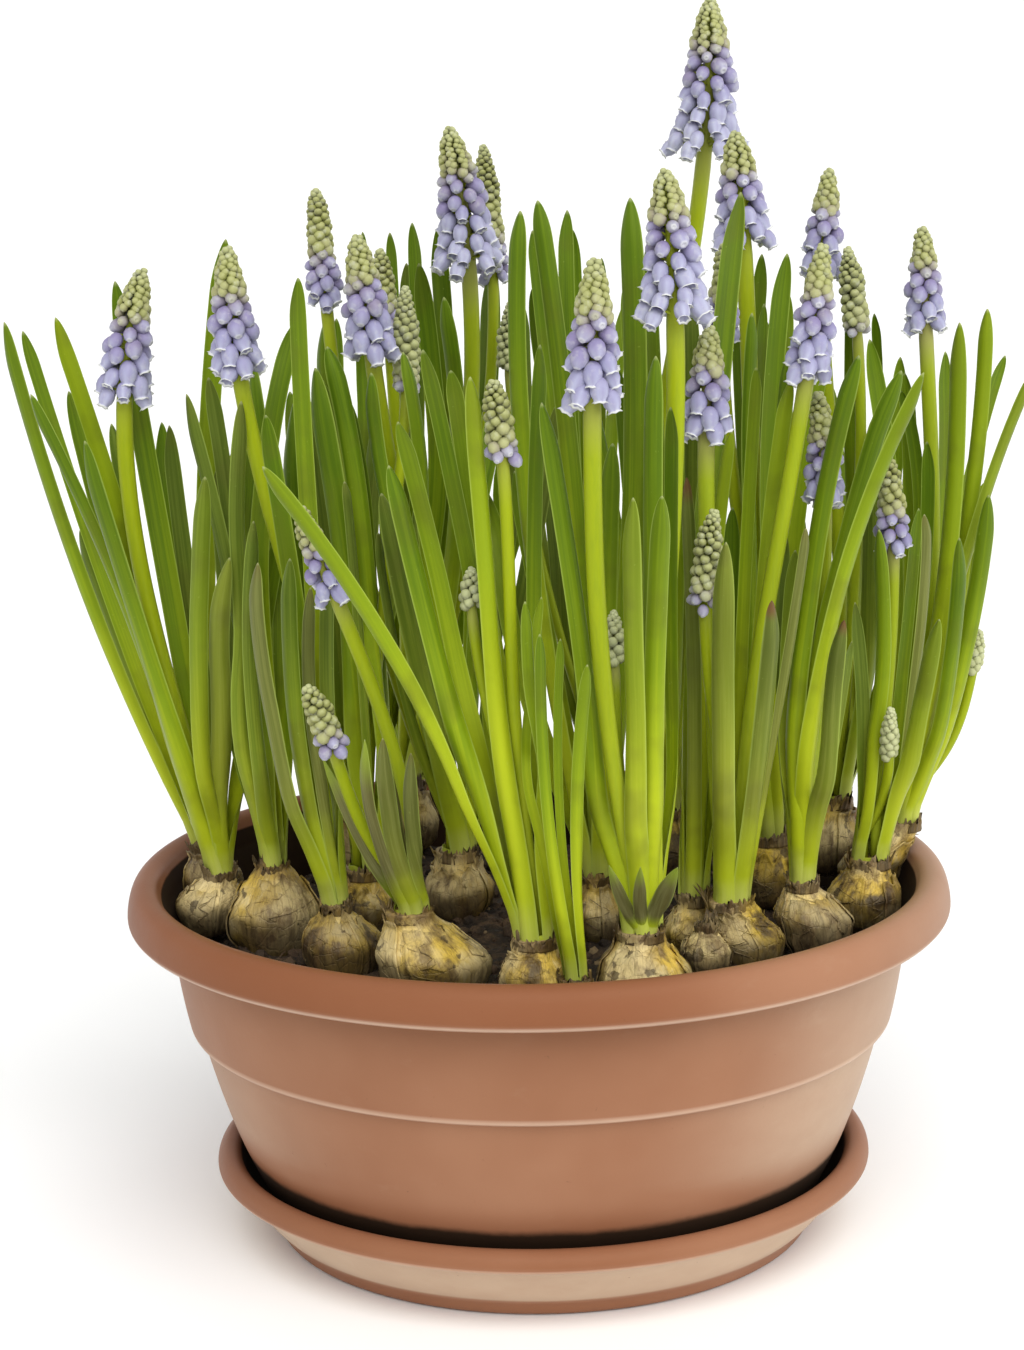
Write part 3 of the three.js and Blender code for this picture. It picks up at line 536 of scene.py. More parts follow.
def smoothstep(x: np.ndarray | float, low: float, high: float) -> np.ndarray | float:
    """Eases from 0 at low to 1 at high."""
    t = np.clip((x - low) / (high - low), 0.0, 1.0)
    return t * t * (3.0 - 2.0 * t)


def spread(index: float) -> float:
    """A fixed, well spread number from 0 to 1 for a whole number."""
    return (index * 0.6180339887498949) % 1.0


def circle(count: int) -> np.ndarray:
    """Evenly stepped angles, once round."""
    return 2 * math.pi * np.arange(count) / count


def around(radius: np.ndarray | float, turn: np.ndarray | float, height: np.ndarray | float) -> np.ndarray:
    """Points about +Z, from radii, angles and heights of shapes that go together."""
    return np.stack(np.broadcast_arrays(radius * np.cos(turn), radius * np.sin(turn), height), axis=-1)


def bow(first: np.ndarray, bend: np.ndarray, last: np.ndarray, count: int) -> np.ndarray:
    """Points on the curve that leaves the first point towards the bend and ends at the last."""
    t = np.linspace(0.0, 1.0, count)[:, None]
    return (1 - t) ** 2 * first + 2 * t * (1 - t) * bend + t**2 * last


def drift(values: Iterable[float], second: float, third: float) -> np.ndarray:
    """Smooth noise, about -1 to 1, along a row of values."""
    return np.array([noise.noise(Vector((value, second, third))) for value in values])


def rough(points: np.ndarray, scale: float, seed: float) -> np.ndarray:
    """Smooth noise, about -1 to 1, at points in millimetres; scale is in cells per millimetre."""
    shift = Vector((seed, seed * 1.7, seed * 0.3))
    values = [noise.noise(Vector(p) * scale + shift) for p in points.reshape(-1, 3)]
    return np.array(values).reshape(points.shape[:-1])


class Shell:
    """Gathers closed surfaces, in millimetres, with vectors on their points, into one mesh."""

    def __init__(self, *marks: str) -> None:
        """Starts an empty shell whose points carry the named vectors."""
        self.points: list[np.ndarray] = []
        self.faces: list[tuple[int, ...]] = []
        self.marks: dict[str, list[np.ndarray]] = {name: [] for name in marks}
        self.count = 0

    def add(self, points: np.ndarray, faces: Iterable[Sequence[int]], **marks: np.ndarray) -> None:
        """Adds points and faces.

        Args:
            points: n points.
            faces: faces, counted from the first of these points.
            marks: the named vectors of these points; those left out are zero.
        """
        self.points.append(points)
        self.faces.extend(tuple(i + self.count for i in face) for face in faces)
        for name, rows in self.marks.items():
            rows.append(np.broadcast_to(marks.get(name, np.zeros(3)), points.shape))
        self.count += len(points)

    def skin(self, rings: np.ndarray, capped: bool = True, **marks: np.ndarray) -> None:
        """Adds the surface through a row of rings, turned so that it faces out.

        Args:
            rings: rows by sides by 3.
            capped: whether both ends get a flat face.
            marks: vectors that go with the rings' points.
        """
        rows, sides, _ = rings.shape
        flat = rings.reshape(-1, 3)
        row = np.arange(rows - 1)[:, None] * sides
        here, beside = row + np.arange(sides), row + (np.arange(sides) + 1) % sides
        quads = np.stack([here, beside, beside + sides, here + sides], axis=-1).reshape(-1, 4)
        a, b, c, d = (flat[quads[:, k]] for k in range(4))
        volume = float(np.sum(a * np.cross(b, c)) + np.sum(a * np.cross(c, d)))
        caps = []
        if capped:
            caps = [list(range(sides - 1, -1, -1)), [(rows - 1) * sides + k for k in range(sides)]]
        for cap in caps:
            corner = flat[cap]
            volume += float(np.sum(corner[0] * np.cross(corner[1:-1], corner[2:])))
        faces = quads.tolist() + caps
        if volume < 0:
            faces = [face[::-1] for face in faces]
        self.add(flat, faces, **{k: np.broadcast_to(v, rings.shape).reshape(-1, 3) for k, v in marks.items()})

    def tube(self, line: np.ndarray, radius: np.ndarray, sides: int, **marks: np.ndarray) -> None:
        """Adds a round tube along a line, with one vector per point of the line in each mark."""
        along = unit(np.gradient(line, axis=0))
        side = unit(np.cross(along, np.array([0.13, 1.0, 0.07])))
        other = np.cross(along, side)
        turn = circle(sides)[:, None]
        ring = side[:, None] * np.cos(turn) + other[:, None] * np.sin(turn)
        rings = line[:, None] + ring * np.asarray(radius)[:, None, None]
        self.skin(rings, **{k: np.repeat(v[:, None], sides, axis=1) for k, v in marks.items()})

    def sheet(self, grid: np.ndarray, thickness: float, **marks: np.ndarray) -> None:
        """Adds a thin closed sheet through a grid of points."""
        normal = unit(np.cross(np.gradient(grid, axis=0), np.gradient(grid, axis=1)))
        half = normal * thickness / 2
        both = np.concatenate([grid + half, (grid - half)[:, ::-1]], axis=1)
        self.skin(both, **{k: np.concatenate([v, v[:, ::-1]], axis=1) for k, v in marks.items()})

    def build(self, name: str, *materials: bpy.types.Material, smooth: bool = True) -> bpy.types.Object:
        """Makes the object.

        Args:
            name: its name.
            materials: its material slots, the first of which covers it.
            smooth: whether it is shaded smooth.

        Returns:
            The object, in metres, at the origin.
        """
        mesh = bpy.data.meshes.new(name)
        mesh.from_pydata((np.concatenate(self.points) * MM).tolist(), [], self.faces)
        for mark, rows in self.marks.items():
            note(mesh, mark, "FLOAT_VECTOR", np.concatenate(rows).astype(np.float32).ravel())
        for finish in materials:
            mesh.materials.append(finish)
        if smooth:
            mesh.shade_smooth()
        mesh.update()
        return placed(name, mesh)


def placed(name: str, data: bpy.types.ID | None) -> bpy.types.Object:
    """Makes an object and puts it in the scene."""
    made = bpy.data.objects.new(name, data)
    bpy.context.scene.collection.objects.link(made)
    return made


def note(mesh: bpy.types.Mesh, name: str, kind: str, values: Sequence[float]) -> None:
    """Writes a named attribute to the points of a mesh."""
    layer = mesh.attributes.new(name, kind, "POINT")
    layer.data.foreach_set("vector" if kind == "FLOAT_VECTOR" else "value", values)


def discard(made: bpy.types.Object) -> None:
    """Removes an object and its mesh."""
    mesh = made.data
    bpy.data.objects.remove(made)
    bpy.data.meshes.remove(mesh)


def sharpen(made: bpy.types.Object, degrees: float) -> None:
    """Marks the edges that turn by more than an angle as sharp."""
    made.data.set_sharp_from_angle(angle=math.radians(degrees))


def applied(made: bpy.types.Object, modifier: bpy.types.Modifier) -> bpy.types.Mesh:
    """Makes a modifier's result the plain mesh of its object.

    Args:
        made: the object.
        modifier: its modifier, which is removed.

    Returns:
        The mesh that the object had before.
    """
    depsgraph = bpy.context.evaluated_depsgraph_get()
    mesh = bpy.data.meshes.new_from_object(made.evaluated_get(depsgraph), depsgraph=depsgraph)
    made.modifiers.remove(modifier)
    old, made.data = made.data, mesh
    mesh.name = made.name
    return old


def grown(made: bpy.types.Object, tree: bpy.types.NodeTree, values: dict[str, object]) -> None:
    """Runs a geometry tree on an object and keeps the result as its plain mesh.

    Args:
        made: the object.
        tree: the geometry tree.
        values: its inputs by name.
    """
    modifier = made.modifiers.new("growth", "NODES")
    modifier.node_group = tree
    by_name = {item.name: item.identifier for item in tree.interface.items_tree if item.in_out == "INPUT"}
    for key, given in values.items():
        modifier[by_name[key]] = given
    bpy.data.meshes.remove(applied(made, modifier))


def dressed(made: bpy.types.Object, node: str) -> bpy.types.Object:
    """Fixes a piece to the part in place of its plain solid.

    Args:
        made: the piece.
        node: the solid that it stands for.

    Returns:
        The piece.
    """
    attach(made, BODY)
    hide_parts(node)
    LOG.info("%s: %d faces", made.name, len(made.data.polygons))
    return made


# ------------------------------------------------------------------ the plants


class LeafLook(Enum):
    """How a blade differs from a plain green one, by the letter that the plant table gives."""

    GREEN = "g"
    FRESH = "b"
    SOFT = "G"
    # DEEP and OLIVE are partly the blades' own darker green and partly painted shade for blades deep in the clump
    DEEP = "d"
    OLIVE = "o"
    YOUNG = "y"
    PALE = "p"
    TIPPED = "t"
    DUSKY = "k"

    @property
    def tints(self) -> tuple[float, float, float]:
        """How deep its green is, how grey and striped (over 1 for a shoot), and how brown its tip is."""
        return {
            LeafLook.GREEN: (0.50, 0.00, 0.0),
            LeafLook.FRESH: (0.18, 0.00, 0.0),
            LeafLook.SOFT: (0.34, 0.22, 0.0),
            LeafLook.DEEP: (0.82, 0.00, 0.0),
            LeafLook.OLIVE: (0.92, 0.32, 0.1),
            LeafLook.YOUNG: (0.55, 0.85, 0.2),
            LeafLook.PALE: (0.10, 0.55, 0.0),
            LeafLook.TIPPED: (0.55, 0.60, 1.0),
            LeafLook.DUSKY: (0.90, 1.30, 0.0),
        }[self]


class BulbSkin(Enum):
    """Colour of a bulb's papery skin: how yellow, how pale and how brown it is, each 0 to 1."""

    TAN = (0.3, 0.3, 0.3)
    GREY = (0.1, 0.35, 0.5)
    CREAM = (0.35, 0.75, 0.3)
    PALE = (0.45, 0.7, 0.1)
    YELLOW = (0.95, 0.45, 0.25)
    PINK = (0.2, 0.65, 0.12)
    BROWN = (0.3, 0.1, 0.8)


@dataclass(frozen=True)
class Plant:
    """One bulb with its blades and flower stalks.

    leaves: tip x, y, z; x and z half way up; blade width.
    stalks: tip x, y, z; x and z of the lowest bells; x and z half way up; half width over the bells.
    """

    bulb: tuple[float, ...]
    neck: tuple[float, float]
    skin: BulbSkin
    looks: str
    leaves: tuple[tuple[float, ...], ...]
    stalks: tuple[tuple[float, ...], ...] = ()
    bulblet: tuple[float, ...] = ()
    daughter: bool = False

    @property
    def crown(self) -> np.ndarray:
        """The middle of the bulb's crown."""
        return np.array([self.neck[0], self.bulb[1], self.neck[1]])

    @property
    def stem_ring(self) -> float:
        """Radius of the ring that the stems stand on."""
        count = len(self.stalks)
        return STEM_FOOT / math.sin(math.pi / count) + 0.05 if count > 1 else 0.0

    @property
    def sheath_hole(self) -> float:
        """Inner radius of the leaf sheath."""
        return self.stem_ring + STEM_FOOT + 0.45

    @property
    def heart(self) -> np.ndarray:
        """Where the middle of the plant is half way up, across and in depth."""
        column = 5 if self.stalks else 3
        rows = self.stalks or self.leaves
        return np.mean([(row[column], self.mid_depth(row[1])) for row in rows], axis=0)

    def mid_depth(self, tip_y: float) -> float:
        """How deep a blade or stalk lies half way up, from how deep its tip lies."""
        return self.bulb[1] + 0.45 * (tip_y - self.bulb[1])


STEM_FOOT = 1.5  # stem radius inside the leaf sheath
NEIGHBOUR_REACH = 48  # strands further apart than this never meet while they settle
SHEATHED = 24  # length above the crown over which a plant's own strands stay together
STEM_RADIUS = 2.05
SHEATH_WALL = 1.1
SHEATH_HEIGHT = 6.0
STRAND_POINTS = 9

PLANTS: tuple[Plant, ...] = (
    Plant((-88, -2, 89, 8.5), (-85, 98), BulbSkin.GREY, "gdbgdoGpg",
          leaves=(
              (-131, 8, 242, -110, 169, 3.3), (-127, -16, 228, -104, 166, 3.5), (-122, 0, 246, -102, 172, 4.3),
              (-113, -26, 217, -100, 158, 5.1), (-107, 12, 254, -95, 171, 5.0), (-96, 18, 215, -90, 159, 4.8),
              (-82, -30, 208, -86, 153, 4.4), (-77, -22, 186, -83, 141, 5.4), (-66, 4, 192, -75, 143, 4.8),),
          stalks=(
              (-98, -8, 258, -104, 223, -99, 164, 8.1),)),
    Plant((-69.5, -14, 89, 12.2), (-69.5, 102.5), BulbSkin.TAN, "oooodood",
          leaves=(
              (-89, -4, 226, -76, 162, 4.3), (-83, 6, 229, -76, 172, 4.2), (-72, -20, 226, -76, 164, 4.4),
              (-79, 12, 209, -77, 161, 3.2), (-61, 16, 241, -71, 182, 4.7), (-70, -26, 196, -73, 150, 3.8),
              (-81, 10, 204, -78, 150, 4.7), (-68, 20, 210, -66, 154, 5.3),)),
    Plant((-50.5, -39, 88, 9.8), (-52, 99), BulbSkin.CREAM, "yGgyog",
          leaves=(
              (-68, -59, 191, -66, 150, 5.0), (-60, -53, 191, -60, 146, 4.0), (-66, -39, 225, -59, 168, 4.5),
              (-55, -49, 183, -56, 143, 3.5), (-50, -43, 194, -52, 148, 4.0), (-58, -23, 257, -56, 187, 4.6),)),
    Plant((-27, -57, 89, 13.2), (-32.5, 102), BulbSkin.PALE, "kykyk",
          leaves=(
              (-42, -79, 151, -40, 125, 3.9), (-37, -79, 151, -36, 125, 4.6), (-35, -55, 150, -35, 123, 3.2),
              (-31, -73, 146, -31, 123, 4.1), (-53, -47, 140, -44, 119, 3.8),),
          stalks=(
              (-55, -73, 163, -49, 144, -41, 120, 4.6), (-56, -68, 206, -47, 181, -36, 147, 5.8),)),
    Plant((-1, -70.5, 88, 9.4), (-1.5, 98.5), BulbSkin.TAN, "bgbgggbg",
          leaves=(
              (-63, -88, 219, -30, 164, 3.6), (-25, -70, 244, -13, 174, 3.8), (-13, -86, 239, -10, 175, 4.3),
              (-19, -56, 237, -12, 182, 3.9), (-31, -76, 228, -19, 172, 4.2), (-33, -82, 218, -22, 165, 4.7),
              (-2, -88, 186, -1, 143, 3.1), (3, -66, 244, 0, 173, 3.9),),
          stalks=(
              (-9, -82, 237, -7, 216, -6, 175, 4.4), (-15, -72, 191, -15, 179, -9, 144, 2.9),)),
    Plant((8, -78, 83, 5.5), (8, 90), BulbSkin.BROWN, "bbbb",
          leaves=(
              (1, -92, 179, 2, 135, 2.6), (6, -86, 177, 5, 134, 2.1), (12, -90, 171, 9, 132, 2.8),
              (1, -80, 186, -1, 141, 2.4),),
          daughter=True),
    Plant((25, -71, 88, 11.7), (24.5, 100), BulbSkin.TAN, "Gggggkkk",
          leaves=(
              (22, -95, 211, 23, 156, 5.0), (30, -87, 210, 28, 160, 4.5), (3, -81, 232, 13, 162, 4.5),
              (29, -69, 241, 28, 173, 4.6), (34, -61, 228, 32, 167, 3.6), (17, -88, 121, 20, 110, 3.8),
              (24, -91, 121, 24, 110, 4.0), (32, -89, 120, 29, 110, 5.2),),
          stalks=(
              (15, -87, 265, 14, 229, 15, 175, 8.0), (19, -63, 178, 19, 163, 20, 135, 2.9),
              (33, -51, 283, 35, 245, 32, 181, 9.4),)),
    Plant((53.5, -39, 88, 8.9), (48.5, 98), BulbSkin.YELLOW, "ptbyg",
          leaves=(
              (46, -61, 194, 46, 145, 5.7), (58, -65, 180, 56, 143, 5.2), (63, -43, 232, 57, 174, 4.5),
              (67, -53, 196, 62, 157, 3.0), (57, -29, 233, 53, 175, 3.3),),
          stalks=(
              (71, -49, 264, 67, 230, 59, 182, 6.7), (44, -43, 244, 43, 216, 44, 166, 7.5),
              (44, -55, 201, 42, 174, 45, 142, 4.2),),
          bulblet=(42, -47, 87, 6.3)),
    Plant((70.5, -31, 90, 9.3), (68, 100), BulbSkin.PINK, "ggbtGoo",
          leaves=(
              (79, -51, 238, 68, 173, 4.5), (91, -43, 233, 73, 172, 4.3), (95, -59, 234, 74, 170, 4.3),
              (75, -55, 173, 72, 139, 5.0), (66, -35, 188, 64, 146, 4.3), (64, -23, 190, 63, 145, 3.3),
              (80, -29, 163, 76, 137, 2.6),),
          stalks=(
              (71, -39, 227, 73, 197, 72, 164, 6.0),)),
    Plant((86, -14, 91, 9.4), (87, 101), BulbSkin.CREAM, "Ggyggog",
          leaves=(
              (101, -36, 169, 97, 137, 4.6), (87, -28, 191, 89, 145, 3.6), (100, -24, 194, 99, 158, 3.6),
              (99, -12, 194, 95, 149, 3.1), (103, -4, 210, 100, 159, 3.6), (82, -18, 171, 85, 134, 3.6),
              (88, 2, 236, 94, 169, 4.2),),
          stalks=(
              (90, -22, 209, 92, 182, 91, 147, 5.1), (91, -26, 144, 91, 131, 90, 119, 2.6),)),
    Plant((89.5, 9, 93, 8), (98, 105), BulbSkin.PALE, "bbgGbtggdggb",
          leaves=(
              (109, -11, 241, 108, 170, 4.5), (117, -7, 244, 113, 177, 3.7), (127, 29, 228, 112, 176, 3.3),
              (129, -7, 227, 111, 169, 3.1), (122, 25, 194, 114, 154, 3.9), (123, 35, 173, 114, 142, 3.8),
              (110, -15, 186, 108, 141, 3.9), (100, 29, 219, 104, 175, 3.2), (104, 39, 207, 100, 158, 4.3),
              (110, 23, 230, 108, 170, 4.0), (103, 42, 222, 102, 168, 4.4), (118, -9, 196, 113, 151, 4.2),),
          stalks=(
              (103, 11, 263, 104, 235, 106, 176, 6.4), (119, 11, 156, 117, 146, 109, 123, 2.7),)),
    Plant((62, 8, 91, 8.5), (62.5, 102), BulbSkin.YELLOW, "dgddgggd",
          leaves=(
              (63, 30, 256, 59, 182, 3.7), (67, 10, 258, 62, 183, 5.0), (58, -6, 244, 57, 178, 4.0),
              (62, 20, 244, 61, 177, 2.9), (66, -14, 236, 63, 173, 3.7), (69, 26, 246, 67, 176, 3.5),
              (79, 18, 236, 69, 177, 4.6), (57, 34, 236, 59, 175, 4.3),),
          stalks=(
              (55, 18, 288, 57, 257, 59, 193, 8.6), (51, -2, 261, 50, 234, 55, 184, 5.3),
              (54, -10, 139, 55, 127, 58, 116, 2.4),)),
    Plant((-47, -9, 90, 8.2), (-46, 99.5), BulbSkin.BROWN, "dggodo",
          leaves=(
              (-55, -13, 233, -47, 167, 5.7), (-53, -1, 229, -48, 172, 3.9), (-51, -7, 238, -43, 182, 4.9),
              (-47, -21, 205, -45, 163, 2.6), (-48, 3, 226, -41, 171, 4.2), (-59, 9, 225, -53, 171, 3.7),),
          stalks=(
              (-75, -19, 264, -73, 230, -60, 168, 7.7), (-32, 5, 251, -33, 222, -39, 171, 3.9),)),
    Plant((-21.5, 5, 90, 8.8), (-21.5, 100), BulbSkin.BROWN, "gogoogdo",
          leaves=(
              (-41, -9, 231, -34, 170, 4.2), (-37, -25, 202, -30, 156, 5.7), (-33, -1, 236, -27, 175, 3.7),
              (-39, -17, 191, -35, 150, 2.6), (-4, 22, 205, -12, 152, 4.4), (-12, -12, 190, -16, 150, 4.0),
              (-8, 25, 222, -14, 162, 4.8), (8, 34, 216, -5, 154, 4.8),),
          stalks=(
              (-54, 9, 276, -52, 245, -44, 180, 5.1), (-43, -3, 265, -39, 232, -31, 175, 7.9),)),
    Plant((16, -16, 88, 7.8), (15.5, 98), BulbSkin.TAN, "dddgggg",
          leaves=(
              (26, -4, 274, 26, 192, 5.7), (3, -8, 274, 11, 198, 4.4), (10, 10, 270, 11, 191, 4.5),
              (-2, -16, 272, -1, 193, 4.4), (20, -34, 215, 18, 160, 4.6), (-5, 4, 203, 4, 155, 4.9),
              (-13, 22, 196, -2, 146, 4.6),)),
    Plant((39.5, -29, 87, 7.2), (40, 96), BulbSkin.YELLOW, "tbbgd",
          leaves=(
              (38, -39, 207, 40, 152, 3.8), (50, -27, 217, 44, 164, 3.3), (45, -17, 216, 40, 158, 3.6),
              (51, -23, 197, 48, 148, 4.1), (53, -5, 275, 44, 188, 6.6),)),
    Plant((80, 34, 93, 9.2), (82, 105), BulbSkin.CREAM, "ggggggog",
          leaves=(
              (87, 30, 250, 87, 184, 3.6), (94, 38, 239, 94, 177, 2.7), (75, 40, 251, 80, 183, 3.8),
              (104, 62, 224, 97, 165, 4.4), (112, 44, 196, 101, 150, 4.6), (84, 66, 216, 86, 162, 4.8),
              (91, 22, 212, 91, 162, 4.9), (64, 52, 240, 74, 176, 4.6),),
          stalks=(
              (81, 34, 277, 79, 248, 84, 178, 6.6), (85, 26, 257, 88, 232, 88, 173, 4.0),)),
    Plant((20, 82, 91, 9.8), (19, 103), BulbSkin.TAN, "ggggggggodg",
          leaves=(
              (3, 96, 242, 9, 177, 5.2), (14, 96, 239, 13, 176, 4.1), (2, 90, 259, 8, 188, 3.2),
              (14, 104, 258, 15, 187, 3.8), (23, 110, 249, 21, 181, 2.8), (28, 94, 238, 22, 176, 4.1),
              (-12, 116, 206, 2, 160, 4.8), (8, 116, 178, 13, 146, 4.6), (6, 88, 202, 10, 147, 5.2),
              (36, 98, 229, 30, 169, 5.2), (0, 112, 237, 3, 172, 4.4),),
          stalks=(
              (52, 72, 322, 50, 277, 36, 197, 10.4), (-5, 68, 240, -5, 220, 3, 165, 3.4),)),
    Plant((-88, 15, 91, 7.6), (-90, 100.5), BulbSkin.GREY, "ggGGddg",
          leaves=(
              (-137, 9, 244, -118, 169, 4.4), (-81, 41, 262, -88, 183, 5.2), (-112, 34, 214, -103, 160, 4.4),
              (-122, 26, 186, -108, 146, 4.2), (-75, 35, 211, -81, 156, 4.6), (-101, 46, 212, -96, 158, 4.8),
              (-124, 40, 222, -109, 162, 4.6),)),
    Plant((-38, 72, 91, 9.4), (-37, 103), BulbSkin.TAN, "dddddddgod",
          leaves=(
              (-31, 88, 262, -32, 185, 4.0), (-25, 80, 261, -25, 185, 5.2), (-30, 72, 252, -28, 183, 5.1),
              (-23, 50, 244, -21, 180, 4.5), (-10, 82, 251, -16, 178, 6.2), (-38, 92, 259, -37, 184, 2.9),
              (-46, 84, 260, -42, 184, 2.8), (-2, 74, 217, -9, 161, 4.3), (-34, 94, 250, -35, 184, 4.1),
              (14, 98, 232, -9, 160, 4.6),),
          stalks=(
              (-20, 58, 289, -15, 248, -19, 186, 9.8), (-11, 80, 283, -9, 244, -14, 190, 4.6),
              (-40, 60, 256, -38, 226, -36, 180, 5.1),)),
    Plant((-53, 37, 91, 9.8), (-53, 103), BulbSkin.CREAM, "gggggodog",
          leaves=(
              (-76, 49, 228, -68, 168, 4.8), (-67, 75, 216, -61, 162, 4.6), (-42, 65, 244, -47, 176, 4.4),
              (-55, 39, 240, -55, 174, 4.6), (-82, 67, 186, -70, 148, 4.8), (-32, 75, 198, -41, 154, 4.4),
              (-65, 47, 217, -65, 149, 5.5), (-41, 51, 216, -47, 156, 5.0), (-53, 61, 238, -53, 173, 4.5),)),
    Plant((35, 33, 91, 9.4), (36, 103), BulbSkin.TAN, "ggggggodd",
          leaves=(
              (28, 57, 246, 31, 176, 4.8), (53, 63, 226, 46, 166, 4.6), (14, 45, 232, 25, 172, 4.4),
              (39, 31, 250, 39, 178, 4.6), (62, 49, 196, 51, 152, 4.8), (10, 69, 196, 21, 154, 4.4),
              (44, 41, 243, 43, 178, 5.0), (26, 63, 222, 30, 166, 4.7), (33, 54, 258, 35, 184, 4.6),)),
)


# ------------------------------------------------------------------ centre lines of blades and stems


@dataclass
class Strand:
    """The centre line of one blade or stem, as points from its foot to its tip."""

    plant: int
    points: np.ndarray
    radii: np.ndarray
    give: float
    width: float
    away: float = 0.0
    bells: float = 0.0

    def along(self, share: np.ndarray) -> tuple[np.ndarray, np.ndarray]:
        """Points and directions on the smooth line through the strand's points.

        Args:
            share: how far along, from 0 at the foot to 1 at the tip.

        Returns:
            The points and the unit directions there.
        """
        p = self.points
        padded = np.vstack([2 * p[0] - p[1], p, 2 * p[-1] - p[-2]])
        place = np.asarray(share, dtype=float) * (len(p) - 1)
        k = np.minimum(np.floor(place).astype(int), len(p) - 2)
        t = (place - k)[:, None]
        before, first, second, after = (padded[k + i] for i in range(4))
        start, end = (second - before) * 0.5, (after - first) * 0.5
        at = (
            first * (2 * t**3 - 3 * t**2 + 1)
            + start * (t**3 - 2 * t**2 + t)
            + second * (-2 * t**3 + 3 * t**2)
            + end * (t**3 - t**2)
        )
        direction = (
            first * (6 * t**2 - 6 * t)
            + start * (3 * t**2 - 4 * t + 1)
            + second * (-6 * t**2 + 6 * t)
            + end * (3 * t**2 - 2 * t)
        )
        return at, unit(direction)


def leaf_strand(number: int, plant: Plant, row: Sequence[float], index: int) -> Strand:
    """The centre line of a blade before it makes room for its neighbours.

    Args:
        number: the plant's place in the table.
        plant: the plant.
        row: the blade's row.
        index: the row's place in the plant.

    Returns:
        The strand.
    """
    tip_x, tip_y, tip_z, mid_x, mid_z, width = row
    crown = plant.crown
    mid = np.array([mid_x, plant.mid_depth(tip_y), mid_z])
    tip = np.array([tip_x, tip_y, tip_z], dtype=float)
    away = math.atan2(
        mid[1] - plant.heart[1] + math.sin(2.4 * index), mid[0] - plant.heart[0] + math.cos(2.4 * index)
    )
    ring = plant.sheath_hole + SHEATH_WALL - 0.3
    foot = crown + np.array([ring * math.cos(away), ring * math.sin(away), 2.2])
    bend = 2 * mid - 0.5 * (foot + tip)
    points = bow(foot, bend, tip, STRAND_POINTS)
    return Strand(number, points, np.full(STRAND_POINTS, 0.46 * width), 1.0, width, away=away)


def stalk_strand(number: int, plant: Plant, row: Sequence[float]) -> Strand:
    """The centre line of a flower stalk: by height through its foot, middle, lowest bells and tip.

    Args:
        number: the plant's place in the table.
        plant: the plant.
        row: the stalk's row.

    Returns:
        The strand.
    """
    tip_x, tip_y, tip_z, bells_x, bells_z, mid_x, mid_z, half_width = row
    order = sorted((other[5] for other in plant.stalks), reverse=True)
    turn = 2 * math.pi * order.index(mid_x) / len(plant.stalks)
    ring = plant.stem_ring
    foot = plant.crown + np.array([ring * math.cos(turn), ring * math.sin(turn), SHEATH_HEIGHT + 1])
    heights = (foot[2], mid_z, bells_z, tip_z)
    across = (foot[0], mid_x, bells_x, tip_x)
    share = np.linspace(0.0, 1.0, STRAND_POINTS)
    z = foot[2] + share * (tip_z - foot[2])
    x = np.zeros(STRAND_POINTS)
    for i in range(4):
        weight = np.full(STRAND_POINTS, float(across[i]))
        for j in range(4):
            if j != i:
                weight = weight * (z - heights[j]) / (heights[i] - heights[j])
        x += weight
    y = foot[1] + (tip_y - foot[1]) * (0.8 * share + 0.2 * share**2)
    radii = np.where(z < bells_z - 4, STEM_RADIUS, half_width * 0.92)
    return Strand(number, np.stack([x, y, z], axis=1), radii, 0.12, half_width, bells=bells_z)


